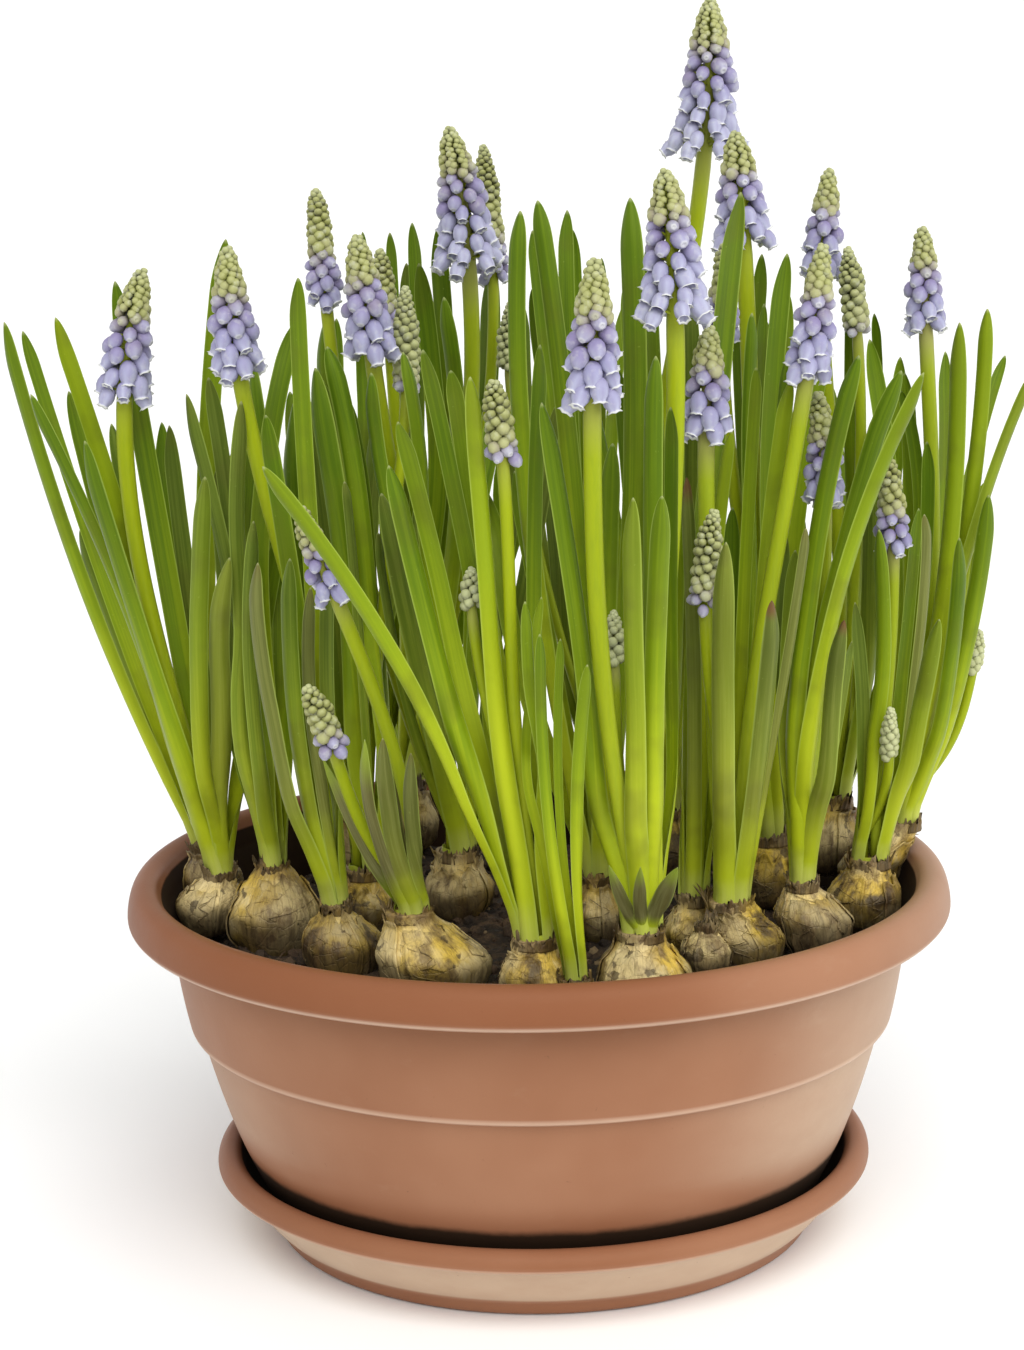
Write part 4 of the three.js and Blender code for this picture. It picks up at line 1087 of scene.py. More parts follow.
def settle(strands: list[Strand], rounds: int = 160, clearance: float = 1.5) -> None:
    """Moves neighbouring strands apart, mostly in depth, until none touch.

    Args:
        strands: all the strands, moved in place.
        rounds: how many times they push each other.
        clearance: what is left between them.
    """
    points = np.array([s.points for s in strands])
    radii = np.array([s.radii for s in strands])
    give = np.array([s.give for s in strands])
    plant = np.array([s.plant for s in strands])
    crown_z = np.array([PLANTS[s.plant].crown[2] for s in strands])
    parts = STRAND_POINTS - 1
    owner = np.repeat(np.arange(len(strands)), parts)
    piece = np.tile(np.arange(parts), len(strands))
    one, two = np.triu_indices(len(owner), 1)
    apart = np.linalg.norm(points[owner[one], piece[one]] - points[owner[two], piece[two]], axis=1)
    near = (owner[one] != owner[two]) & (apart < NEIGHBOUR_REACH)
    s1, k1, s2, k2 = owner[one[near]], piece[one[near]], owner[two[near]], piece[two[near]]
    kin = plant[s1] == plant[s2]
    share_of_first = give[s1] / (give[s1] + give[s2])

    def dot(p: np.ndarray, q: np.ndarray) -> np.ndarray:
        """Row by row dot product."""
        return np.einsum("ij,ij->i", p, q)

    for _ in range(rounds):
        a, b = points[s1, k1], points[s1, k1 + 1]
        c, d = points[s2, k2], points[s2, k2 + 1]
        u, v, w = b - a, d - c, a - c
        uu, uv, vv, uw, vw = dot(u, u), dot(u, v), dot(v, v), dot(u, w), dot(v, w)
        flat = uu * vv - uv * uv
        s = np.where(flat > 1e-9, np.clip((uv * vw - vv * uw) / np.where(flat > 1e-9, flat, 1.0), 0, 1), 0.5)
        t = np.clip((uv * s + vw) / vv, 0, 1)
        s = np.clip((uv * t - uw) / uu, 0, 1)
        here = a + u * s[:, None]
        gap = here - (c + v * t[:, None])
        distance = np.linalg.norm(gap, axis=1)
        near_one = radii[s1, k1 + np.floor(s + 0.5).astype(int)]
        near_two = radii[s2, k2 + np.floor(t + 0.5).astype(int)]
        reach = np.where(kin, 0.85, 1.0) * (near_one + near_two) + clearance
        hit = (distance < reach) & ~(kin & (here[:, 2] - crown_z[s1] < SHEATHED))
        side = np.where(gap[hit, 1] >= 0, 1.0, -1.0)
        push = np.stack([0.35 * gap[hit, 0], gap[hit, 1] + 0.3 * side, 0.15 * gap[hit, 2]], axis=1)
        push = unit(push) * (0.5 * (reach[hit] - distance[hit]))[:, None]
        first = push * share_of_first[hit][:, None]
        second = -push * (1 - share_of_first[hit])[:, None]
        moves = np.zeros_like(points)
        sh, th = s[hit][:, None], t[hit][:, None]
        np.add.at(moves, (s1[hit], k1[hit]), first * (1 - sh))
        np.add.at(moves, (s1[hit], k1[hit] + 1), first * sh)
        np.add.at(moves, (s2[hit], k2[hit]), second * (1 - th))
        np.add.at(moves, (s2[hit], k2[hit] + 1), second * th)
        hold = smoothstep(points[:, 1:, 2] - points[:, :1, 2], 2, SHEATHED)[..., None]
        after = np.concatenate([moves[:, 2:], moves[:, -1:]], axis=1)
        points[:, 1:] += hold * (0.5 * moves[:, 1:] + 0.2 * moves[:, :-1] + 0.2 * after)
    for strand, moved in zip(strands, points):
        strand.points = moved


def spline(controls: Sequence[Sequence[float]], count: int) -> np.ndarray:
    """Evenly stepped points on the smooth line through the controls."""
    strand = Strand(0, np.array(controls, dtype=float), np.zeros(0), 0.0, 0.0)
    return strand.along(np.linspace(0.0, 1.0, count))[0]


# ------------------------------------------------------------------ pot and saucer


Triple = tuple[np.ndarray, np.ndarray, np.ndarray]
PaintedLight = Callable[[np.ndarray, np.ndarray, np.ndarray], Triple]


@dataclass
class Lathe:
    """A shell of revolution about +Z, from an outline of radius and height."""

    outline: list[tuple[float, float]]
    sides: int = 192

    def line(self, *points: tuple[float, float]) -> None:
        """Adds straight runs to the points."""
        self.outline.extend(points)

    def curve(self, *controls: tuple[float, float], steps: int = 10) -> None:
        """Adds a Bezier curve from the last point over the controls."""
        known = [self.outline[-1], *controls]
        for t in np.linspace(0.0, 1.0, steps + 1)[1:]:
            row = [np.array(p) for p in known]
            while len(row) > 1:
                row = [a * (1 - t) + b * t for a, b in zip(row, row[1:])]
            self.outline.append((float(row[0][0]), float(row[0][1])))

    def build(self, name: str, finish: bpy.types.Material, wear: PaintedLight, painted_side_light: float) -> bpy.types.Object:
        """Turns the outline, whose two ends lie near the axis, into a closed shell.

        Args:
            name: the object's name.
            finish: its material.
            wear: gives painted shade, painted edge highlight and painted tone for each step of the outline,
                from the step, its radius and its height.
            painted_side_light: how strongly painted sheen pales the two sides and painted shade deepens the rim at
                the left.

        Returns:
            The object.
        """
        turn = circle(self.sides)
        profile = np.array(self.outline)
        rings = around(profile[:, :1], turn, profile[:, 1:])
        marks = np.stack(wear(np.arange(len(profile)), profile[:, 0], profile[:, 1]), axis=1)
        marks = np.repeat(marks[:, None], self.sides, axis=1)
        # painted sheen pales the right side, most on the rim, and the left of the body and band; painted shade
        # deepens the rim at the left
        right = smoothstep(np.cos(turn - 0.1), -0.05, 0.95)
        left = smoothstep(np.cos(turn - math.pi), 0.4, 1.0)
        deep = marks[:, :, 2]
        side_light_share = right * (1 + 0.8 * deep) + left * np.interp(deep, (0.4, 0.7), (0.6, -0.7))
        marks[:, :, 2] = deep - painted_side_light * side_light_share
        shell = Shell("wear")
        shell.skin(rings, wear=marks)
        made = shell.build(name, finish)
        sharpen(made, 38.0)
        return made


@dataclass
class Pot:
    """A flared bowl with a hollow rolled rim, a stepped band under it, and drain holes."""

    base: float = 69.5
    underside: float = 4.3
    waist: float = 91.0
    waist_height: float = 57.8
    band: float = 93.8
    rim: float = 109.3
    rim_height: float = 87.0
    drain_holes: int = 5
    drain_radius: float = 5.0
    drain_ring: float = 38.0
    # how strongly painted sheen and shade vary round the sides
    painted_side_light: float = 0.70
    # heights under which painted shade darkens the inner wall and the outer foot
    inner_shade_top: float = 97.5
    foot_shade_top: float = 28.5

    def build(self, finish: bpy.types.Material) -> bpy.types.Object:
        """Makes and dresses the pot."""
        shape = Lathe([(0.6, self.underside)])
        shape.line((66.0, self.underside), (67.4, self.underside + 0.1))
        shape.curve((69.3, self.underside + 0.2), (70.4, self.underside + 1.6), steps=5)
        shape.curve((80.4, 20.5), (86.2, 38.0), (self.waist, self.waist_height - 1.2), steps=18)
        waist, band, step = self.waist, self.band, self.waist_height
        shape.curve((waist + 0.35, step), (waist + 0.9, step + 0.2), steps=3)
        shape.line((band - 1.0, step + 0.35))
        shape.curve((band - 0.1, step + 0.5), (band + 0.15, step + 1.5), steps=4)
        shape.curve((95.8, 67.0), (97.5, 78.0), (98.2, self.rim_height + 0.5), steps=24)
        shape.curve((98.6, 91.4), (99.6, 91.9), steps=4)
        shape.curve((102.5, 94.2), (105.9, 92.6), steps=6)
        shape.curve((106.6, 91.0), (106.7, self.rim_height + 0.4), steps=4)
        shape.curve((106.8, self.rim_height - 0.1), (107.5, self.rim_height - 0.1), steps=3)
        shape.curve((108.4, self.rim_height), (108.6, self.rim_height + 0.5), steps=3)
        shape.curve((self.rim, self.rim_height + 0.9), (self.rim, self.rim_height + 2.2), steps=4)
        shape.curve((109.2, 91.6), (108.6, 93.5), steps=5)
        shape.curve((107.6, 97.4), (104.6, 97.7), steps=9)
        shape.curve((101.8, 97.7), (100.9, 95.6), steps=7)
        outside = len(shape.outline)
        shape.curve((99.2, 92.0), (96.8, 88.0), (94.2, 68.0), steps=14)
        shape.line((90.4, self.waist_height), (88.2, self.waist_height - 1.0))
        shape.curve((83.0, 38.0), (77.8, 22.0), (70.0, 12.0), steps=12)
        shape.curve((67.6, 8.4), (64.0, 8.0), steps=5)
        shape.line((0.6, 8.0))

        def wear(step: np.ndarray, radius: np.ndarray, height: np.ndarray) -> Triple:
            """Painted shade inside and at the foot, painted highlight lines on the rim and the step, and painted
            shade that deepens the band, the rim and the lower body.
            """
            inner = step > outside
            # painted shade on the inner wall nearly to the top, and on the outer wall down by the saucer
            painted_shade = inner * smoothstep(self.inner_shade_top - height, 0.0, 5.0)
            painted_shade = painted_shade + (1.0 - inner) * smoothstep(self.foot_shade_top - height, 0.0, 5.5)
            # painted highlight lines on the rim's lower edge and on the step
            at_rim = np.exp(-((height - self.rim_height - 0.7) / 0.55) ** 2)
            at_step = np.exp(-((height - self.waist_height - 1.2) / 0.5) ** 2)
            edge_highlight = 0.62 * at_rim * (radius > 107.4)
            edge_highlight = edge_highlight + 0.55 * at_step * (radius > 92.5)
            # painted shade: a deeper rim, a deeper band under it, and a deeper lower body just above the saucer
            deep = 0.85 * (radius > 98.4) + 0.28 * (radius > 92.0) * (radius < 98.4) * (1.0 - inner)
            deep = deep + 0.6 * (1.0 - inner) * smoothstep(38.0 - height, 0.0, 12.0)
            return painted_shade, np.minimum(edge_highlight, 1.0), deep

        made = shape.build("pot_shell", finish, wear, self.painted_side_light)
        self.drill(made)
        return dressed(made, "pot")

    def drill(self, made: bpy.types.Object) -> None:
        """Cuts the drain holes through the floor."""
        bits = Shell()
        for middle in circle(self.drain_holes):
            hole = around(self.drain_ring, middle, 0.0) + around(self.drain_radius, circle(24), 0.0)
            bits.skin(np.stack([hole + (0.0, 0.0, height) for height in (1.0, 12.0)]))
        cutter = bits.build("drill_bits", smooth=False)
        cut = made.modifiers.new("drain", "BOOLEAN")
        cut.operation, cut.solver, cut.object = "DIFFERENCE", "EXACT", cutter
        old = applied(made, cut)
        self.carry_painted_light(old, made.data)
        bpy.data.meshes.remove(old)
        discard(cutter)

    def carry_painted_light(self, old: bpy.types.Mesh, new: bpy.types.Mesh) -> None:
        """Gives each point of the drilled mesh the painted light and shade of the nearest point before drilling.

        Args:
            old: the mesh before drilling.
            new: the drilled mesh.
        """
        near = KDTree(len(old.vertices))
        for vertex in old.vertices:
            near.insert(vertex.co, vertex.index)
        near.balance()
        before = old.attributes["wear"].data
        layer = new.attributes.get("wear") or new.attributes.new("wear", "FLOAT_VECTOR", "POINT")
        for vertex in new.vertices:
            layer.data[vertex.index].vector = before[near.find(vertex.co)[1]].vector


@dataclass
class Saucer:
    """A shallow dish whose flared wall ends in a thick rounded lip."""

    base: float = 70.0
    floor: float = 4.0
    lip: float = 88.1
    rim_height: float = 23.2
    # how strongly painted sheen and shade vary round the sides
    painted_side_light: float = 0.4
    # height under which painted shade darkens the inside
    inner_shade_top: float = 22.8

    def build(self, finish: bpy.types.Material) -> bpy.types.Object:
        """Makes and dresses the saucer."""
        shape = Lathe([(0.6, 0.0)])
        shape.line((self.base - 1.0, 0.0))
        shape.curve((71.6, 0.0), (72.2, 1.2), steps=4)
        shape.curve((73.0, 3.4), (74.4, 4.8), steps=4)
        shape.curve((78.0, 8.0), (80.4, 12.6), (83.2, 15.6), steps=10)
        shape.curve((84.6, 16.9), (87.0, 17.6), steps=5)
        shape.curve((self.lip, 17.9), (self.lip, 18.8), steps=4)
        shape.curve((self.lip - 0.1, 21.2), (86.4, 22.4), steps=6)
        shape.curve((85.2, self.rim_height + 0.2), (83.6, 22.9), steps=6)
        inside = len(shape.outline)
        shape.curve((82.2, 22.4), (81.2, 20.2), steps=5)
        shape.curve((79.0, 14.0), (77.0, 11.0), (74.6, 7.4), steps=9)
        shape.curve((72.6, self.floor), (self.base - 1.6, self.floor), steps=5)
        shape.line((0.6, self.floor))

        def wear(step: np.ndarray, radius: np.ndarray, height: np.ndarray) -> Triple:
            """Painted shade over the floor and the inner wall, a painted highlight line under the lip, painted
            shade that deepens the lip and the foot, and painted light that pales the wall.
            """
            # painted shade over the inside, under the pot
            painted_shade = (step > inside) * smoothstep(self.inner_shade_top - height, 0.0, 3.0)
            # a painted highlight line under the lip
            edge_highlight = 0.5 * np.exp(-((height - 18.0) / 0.5) ** 2) * (radius > 86.5)
            # painted shade deepens the lip and the foot, painted light pales the wall
            shade = 0.6 * (height > 18.4) - 0.8 * smoothstep(height, 4.6, 5.6) * (height < 17.6)
            return painted_shade, edge_highlight, shade + 0.5 * (height < 4.6)

        made = shape.build("saucer_shell", finish, wear, self.painted_side_light)
        return dressed(made, "saucer")


# ------------------------------------------------------------------ scattered and repeated shapes


@dataclass
class Library:
    """Small shapes that are repeated many times, each one unit long along +Z, as objects of their own."""

    shapes: dict[str, bpy.types.Object] = field(default_factory=dict)

    def ring_shape(self, name: str, rows: Sequence[tuple[float, float, float]], sides: int,
                   teeth: float = 0.0) -> None:
        """Adds a shape of revolution.

        Args:
            name: its name.
            rows: height, radius and how far along the flower each ring counts as.
            sides: points in each ring.
            teeth: how far every second point of the lip stands out.
        """
        height, radius, along = (column[:, None] for column in np.array(rows).T)
        odd = np.arange(sides) % 2.0
        lip = height > height.max() - 0.06
        tooth = teeth * odd * lip
        rings = around(radius + tooth, circle(sides), height + 0.8 * tooth - 0.4 * teeth * lip)
        shell = Shell("floret")
        shell.skin(rings / MM, floret=np.stack(np.broadcast_arrays(along, odd, 0.0), axis=-1))
        self.shapes[name] = shell.build(name)

    def clod(self, name: str, seed: float) -> None:
        """Adds an uneven lump."""
        rows = np.array([(-0.46, 0.16), (-0.3, 0.4), (0.0, 0.5), (0.28, 0.38), (0.44, 0.14)])
        rings = around(rows[:, 1:], circle(7), rows[:, :1])
        shell = Shell()
        shell.skin(rings * (1 + 0.45 * rough(rings, 1.9, seed))[..., None] / MM)
        self.shapes[name] = shell.build(name, smooth=False)

    def splinter(self, name: str) -> None:
        """Adds a thin bent sliver."""
        t = np.linspace(-0.5, 0.5, 5)
        line = np.stack([t, 0.12 * np.sin(5 * t), 0.06 * np.cos(6 * t)], axis=1)
        shell = Shell()
        shell.tube(line / MM, np.array([0.03, 0.05, 0.06, 0.05, 0.02]) / MM, 4)
        self.shapes[name] = shell.build(name, smooth=False)

    def clear(self) -> None:
        """Removes the shapes' objects."""
        for made in self.shapes.values():
            discard(made)
        self.shapes.clear()


@dataclass
class Grower:
    """Geometry trees that set the library's small shapes on a piece."""

    library: Library

    def tree(self, name: str, inputs: Iterable[str]) -> tuple[Graph, Callable[[str], Value]]:
        """Starts a tree.

        Args:
            name: its name.
            inputs: the names of its number inputs.

        Returns:
            The graph and a function that gives a named input's value.
        """
        tree = bpy.data.node_groups.new(name, "GeometryNodeTree")
        tree.interface.new_socket("Geometry", in_out="INPUT", socket_type="NodeSocketGeometry")
        for key in inputs:
            tree.interface.new_socket(key, in_out="INPUT", socket_type="NodeSocketFloat")
        tree.interface.new_socket("Geometry", in_out="OUTPUT", socket_type="NodeSocketGeometry")
        graph = Graph(tree)
        return graph, graph.node("NodeGroupInput").out

    def finish(self, g: Graph, parts: list[Value], settings: dict[str, object]) -> None:
        """Joins the parts, makes their instances real, gives them their material and ends the tree."""
        whole = g.node("GeometryNodeJoinGeometry", None, {0: parts})
        real = g.node("GeometryNodeRealizeInstances", None, {"Geometry": whole})
        done = g.node("GeometryNodeSetMaterial", None, {"Geometry": real, **settings})
        g.node("NodeGroupOutput", None, {"Geometry": done})

    def instances(self, g: Graph, points: Value, names: Sequence[str], inputs: dict[str, object]) -> Value:
        """Sets one of the named shapes on each point, by the index that the inputs give."""
        own = {"transform_space": "ORIGINAL"}
        shapes = [g.node("GeometryNodeObjectInfo", own, {"Object": self.library.shapes[name]})
                  for name in reversed(names)]
        listed = g.node("GeometryNodeGeometryToInstance", None,
                        {0: [shape.out("Geometry") for shape in shapes]})
        return g.node("GeometryNodeInstanceOnPoints", None,
                      {"Points": points, "Instance": listed, "Pick Instance": True, **inputs})

    def read(self, g: Graph, kind: str, name: str) -> Value:
        """A named attribute in a geometry tree."""
        return g.node("GeometryNodeInputNamedAttribute", {"data_type": kind}, {"Name": name})

    def chance(self, g: Graph, kind: str, low: object, high: object, seed: int) -> Value:
        """A different fixed number or vector for each point."""
        return g.node("FunctionNodeRandomValue", {"data_type": kind}, {"Min": low, "Max": high, "Seed": seed})

    def bloom(self, made: bpy.types.Object, names: Sequence[str], finish: bpy.types.Material) -> None:
        """Sets a floret on each loose point of a flower spike.

        Args:
            made: the stems, with loose points that carry "kind", "turned" and "length".
            names: the florets' shapes, by kind.
            finish: the florets' material.
        """
        g, given = self.tree(made.name + "_bloom", ["Size"])
        kind = self.read(g, "INT", "kind")
        floret = kind.above(-0.5)
        apart = g.node("GeometryNodeSeparateGeometry", {"domain": "POINT"},
                       {"Geometry": given("Geometry"), "Selection": floret})
        turned = g.node("FunctionNodeEulerToRotation", None, {0: self.read(g, "FLOAT_VECTOR", "turned")})
        size = self.read(g, "FLOAT", "length") * given("Size")
        set_out = self.instances(g, apart, names, {"Instance Index": kind, "Rotation": turned, "Scale": size})
        self.finish(g, [apart.out("Inverted"), set_out], {"Selection": floret, "Material": finish})
        grown(made, g.tree, {"Size": 1.0})

    def litter(self, made: bpy.types.Object, names: Sequence[str], finish: bpy.types.Material, density: float,
               sizes: tuple[float, float], seed: int) -> None:
        """Strews shapes over the part of a surface that carries "top".

        Args:
            made: the surface.
            names: the shapes.
            finish: their material.
            density: how many to a square metre.
            sizes: the least and the greatest length, in metres.
            seed: the scatter's seed.
        """
        g, given = self.tree(made.name + "_litter", ("Density", "Least", "Most"))
        points = g.node("GeometryNodeDistributePointsOnFaces", {"distribute_method": "RANDOM"},
                        {"Mesh": given("Geometry"), "Selection": self.read(g, "FLOAT", "top").above(0.5),
                         "Density": given("Density"), "Seed": seed})
        spin = self.chance(g, "FLOAT_VECTOR", (0.0, 0.0, 0.0), (0.9, 6.3, 6.3), seed + 1)
        share = self.chance(g, "FLOAT", 0.0, 1.0, seed + 2)
        strewn = self.instances(g, points, names, {
            "Instance Index": self.chance(g, "INT", 0, len(names) - 1, seed + 3),
            "Rotation": g.node("FunctionNodeEulerToRotation", None, {0: spin}),
            "Scale": given("Least") + (given("Most") - given("Least")) * share * share * share})
        tone, straw = (self.chance(g, "FLOAT", 0.0, 1.0, seed + k) for k in (4, 5))
        crumb = g.joined(tone, straw.above(0.93) * 0.7, 0.0)
        tinted = g.node("GeometryNodeStoreNamedAttribute",
                        {"data_type": "FLOAT_VECTOR", "domain": "INSTANCE"},
                        {"Geometry": strewn, "Name": "crumb", "Value": crumb})
        self.finish(g, [given("Geometry"), tinted], {"Material": finish})
        grown(made, g.tree, {"Density": density, "Least": sizes[0], "Most": sizes[1]})


# ------------------------------------------------------------------ compost


@dataclass
class Compost:
    """The potting mix: a heaped, crumbly top and a plain plug under it that fills the pot."""

    heap: tuple[tuple[float, ...], tuple[float, ...]] = ((0, 40, 80, 92.6), (83.2, 82.8, 81.7, 74.2))
    plug: tuple[tuple[float, float], ...] = (
        (92.4, 70.0), (87.0, 57.0), (78.0, 33.0), (69.0, 14.0), (65.0, 8.3), (0.6, 8.3))
    sides: int = 150
    rows: int = 60
    litter: float = 90_000.0
    litter_sizes: tuple[float, float] = (0.0008, 0.0052)
    seed: int = 11

    def build(self, finish: bpy.types.Material, grower: Grower) -> bpy.types.Object:
        """Makes and dresses the compost."""
        turn = circle(self.sides)
        edge = self.heap[0][-1]
        radius = np.linspace(0.4, edge, self.rows)[:, None]
        surface = around(radius, turn, 0.0)
        lumps = 1.6 * rough(surface, 0.11, 3.0) + 1.1 * rough(surface, 0.33, 8.0)
        lumps = lumps + 0.6 * rough(surface, 0.9, 5.0)
        surface[..., 2] = np.interp(radius, *self.heap) + lumps * np.clip((edge - radius) / 6, 0.2, 1.0)
        shell = Shell("crumb")
        shell.skin(np.concatenate([surface, [around(out, turn, height) for out, height in self.plug]]))
        made = shell.build("compost", finish)
        top = self.rows * self.sides
        note(made.data, "top", "FLOAT", [1.0] * top + [0.0] * (shell.count - top))
        grower.litter(made, ("clod_a", "clod_b", "clod_c", "splinter"), finish, self.litter, self.litter_sizes,
                      self.seed)
        return dressed(made, "soil")


# ------------------------------------------------------------------ bulbs


@dataclass
class BulbBody:
    """The rounded body of one bulb, leaning to its crown."""

    middle: np.ndarray
    radius: float
    crown: np.ndarray
    crown_radius: float
    skin: BulbSkin
    seed: float
    swelling: float = 0.095
    peels: int = 3
    peel_thickness: float = 0.28
    scales: int = 17
    scale_thickness: float = 0.26
    roots: int = 7
    root_radius: float = 0.2

    def profile(self) -> np.ndarray:
        """Radius and height above the middle, from the underside to the crown."""
        r, neck, height = self.radius, self.crown_radius, self.crown[2] - self.middle[2]
        controls = (
            (0.12 * r, -1.0 * r), (0.55 * r, -0.9 * r), (0.9 * r, -0.45 * r), (r, 0.0), (0.955 * r, 0.23 * height),
            (0.80 * r, 0.46 * height), (max(0.62 * r, neck + 1.2), 0.66 * height),
            (max(0.46 * r, neck + 0.9), 0.84 * height), (neck + 0.5, height + 0.8),
        )
        return spline(controls, 64)

    def surface(self, turn: np.ndarray, up: np.ndarray, proud: np.ndarray | float = 0.0) -> np.ndarray:
        """Points on the skin.

        Args:
            turn: angles round the bulb.
            up: 0 at the underside to 1 at the crown.
            proud: how far outside the skin they are.

        Returns:
            The points, shaped as turn and up together.
        """
        turn, up = np.broadcast_arrays(turn, up)
        table = self.profile()
        place = np.linspace(0.0, 1.0, len(table))
        rise = np.interp(up, place, table[:, 1])
        lean = np.clip(rise / (self.crown[2] - self.middle[2]), 0.0, 1.0)[..., None]
        axis = self.middle + (self.crown - self.middle) * np.array([1.0, 1.0, 0.0]) * lean
        points = axis + around(np.interp(up, place, table[:, 0]), turn, rise)
        swell = self.swelling * self.radius * rough(points, 0.11, self.seed)
        swell = swell + 0.45 * rough(points, 0.32, self.seed + 5)
        folds = 0.07 * np.sin(turn * 11 + 4 * np.sin(up * 4 + self.seed)) * smoothstep(up, 0.5, 0.95)
        wrinkles = 0.3 * rough(points * np.array([1.0, 1.0, 0.5]), 0.95, self.seed + 9)
        return points + around(1.0, turn, 0.0) * (swell + folds + wrinkles + proud)[..., None]

    def marks(self, turn: np.ndarray, up: np.ndarray, dry: float) -> dict[str, np.ndarray]:
        """The vectors of a grid's points: their place on the bulb, how dry they are, and the skin's tints."""
        turn, up = np.broadcast_arrays(turn, up)
        tunic = np.stack([turn / (2 * math.pi) + self.seed, up, np.full(turn.shape, dry)], axis=-1)
        return {"tunic": tunic, "skin": np.broadcast_to(np.array(self.skin.value), tunic.shape)}

    def add_to(self, shell: Shell) -> None:
        """Adds the body, its peeling skins, the torn scales at its crown and its stray roots."""
        turn = np.linspace(0, 2 * math.pi, 72, endpoint=False)[None, :]
        up = np.linspace(0.0, 1.0, 46)[:, None]
        shell.skin(self.surface(turn, up), **self.marks(turn, up, 0.0))
        for adds, count in ((self.peel, self.peels), (self.scale, self.scales), (self.root, self.roots)):
            for k in range(count):
                adds(shell, k)

    def peel(self, shell: Shell, k: int) -> None:
        """Adds one torn outer skin that lies on the bulb and lifts at its ragged edge."""
        start = 2 * math.pi * spread(self.seed * 3 + k * 7 + 1)
        turn = start + np.linspace(0, 1.1 + 1.3 * spread(self.seed + k * 5), 30)
        low = 0.08 + 0.08 * spread(self.seed * 2 + k)
        ragged = 0.13 * drift(turn * 2.6, self.seed, k * 3.0)
        high = 0.66 + 0.26 * spread(self.seed * 5 + k) + 1.4 * ragged
        share = np.linspace(0, 1, 18)[:, None]
        up = low + (high - low) * share - 0.5 * ragged * (1 - share)
        side = np.minimum(np.linspace(0, 1, 30), np.linspace(1, 0, 30))
        lift = 0.32 + 0.5 * smoothstep(share, 0.86, 1.0) + 0.45 * smoothstep(0.08 - side, 0.0, 0.08)
        grid = self.surface(turn, np.minimum(up, 0.97), lift)
        dry = 0.15 + 0.5 * spread(self.seed * 7 + k * 3)
        shell.sheet(grid, self.peel_thickness, **self.marks(turn, up, dry))

    def scale(self, shell: Shell, k: int) -> None:
        """Adds one of the dry torn scale tips that stand in a ring round the neck."""
        chance = spread(self.seed * 11 + k * 3)
        middle = 2 * math.pi * (k + 0.6 * chance) / self.scales
        half = (0.7 + 0.6 * spread(self.seed + k)) * 2.6 / (self.crown_radius + 1)
        across, rise = np.linspace(-1, 1, 11), np.linspace(0, 1, 8)[:, None]
        tall = 2.7 + 3.0 * spread(self.seed * 13 + k * 5) ** 1.8
        flare = 0.02 + 1.2 * spread(self.seed * 17 + k * 2) ** 4
        torn = drift(across * 3.7, k * 1.3, self.seed)
        shape = (1 - 0.4 * np.abs(across) ** 3) * (0.85 + 0.8 * torn)
        up = rise * tall * np.maximum(shape, 0.3)
        turn = middle + half * across * (1 - 0.25 * rise**2)
        crimp = 0.22 * np.sin(across * 9 + k) * rise
        radius = self.crown_radius + 0.35 + 0.28 * (k % 3) - 0.13 * up + flare * up**1.4 / 3.2 + crimp
        grid = self.crown + around(radius, turn, up - 1.8)
        shell.sheet(grid, self.scale_thickness, **self.marks(turn, 0.9, 0.6 + 0.4 * chance))

    def root(self, shell: Shell, k: int) -> None:
        """Adds one thin dry root that lies over the skin."""
        t = np.linspace(0, 1, 10)
        start = 2 * math.pi * spread(self.seed * 19 + k * 11)
        turn = start + 1.1 * drift(t * 2.4, k * 2.0, self.seed) + 0.5 * t * (spread(k + self.seed) - 0.5)
        up = 0.35 + 0.35 * spread(self.seed * 23 + k) + (0.42 - 0.15 * spread(k)) * (t - 0.5)
        line = self.surface(turn, up, 0.45 + 0.5 * np.sin(t * 7 + k) ** 2)
        marks = self.marks(turn, up, 0.3 + 0.5 * spread(k * 3 + self.seed))
        shell.tube(line, self.root_radius * (1 - 0.6 * t), 5, **marks)


@dataclass
class Bulb:
    """A plant's bulb, with the bulblet or daughter bulb that grows on it."""

    number: int
    plant: Plant
    daughter: Plant | None

    def build(self, finish: bpy.types.Material) -> bpy.types.Object:
        """Makes and dresses the bulb."""
        shell = Shell("tunic", "skin")
        for offset, plant in enumerate(p for p in (self.plant, self.daughter) if p):
            middle, radius = np.array(plant.bulb[:3], dtype=float), plant.bulb[3]
            crown_radius = plant.sheath_hole + SHEATH_WALL + 0.3
            seed = self.number + offset * 0.5
            BulbBody(middle, radius, plant.crown, crown_radius, plant.skin, seed).add_to(shell)
            if plant.bulblet:
                middle, radius = np.array(plant.bulblet[:3], dtype=float), plant.bulblet[3]
                top = middle + np.array([0.0, 0.0, radius])
                BulbBody(middle, radius, top, 1.9, plant.skin, self.number + 0.3).add_to(shell)
        made = shell.build(f"tunic_{self.number:02d}", finish)
        return dressed(made, f"bulb_{self.number:02d}")


# ------------------------------------------------------------------ blades


def facing(strand: Strand, share: np.ndarray, index: int) -> np.ndarray:
    """Which way a blade's inner face looks: at the neck to the plant's middle, higher up nearly along Y."""
    inward = strand.away + math.pi
    level = math.pi / 2 if math.sin(inward) >= 0 else -math.pi / 2
    target = level + 0.6 * math.sin(1.9 * index + strand.width)
    turn = math.atan2(math.sin(target - inward), math.cos(target - inward))
    return inward + turn * smoothstep(share, 0.05, 0.55)


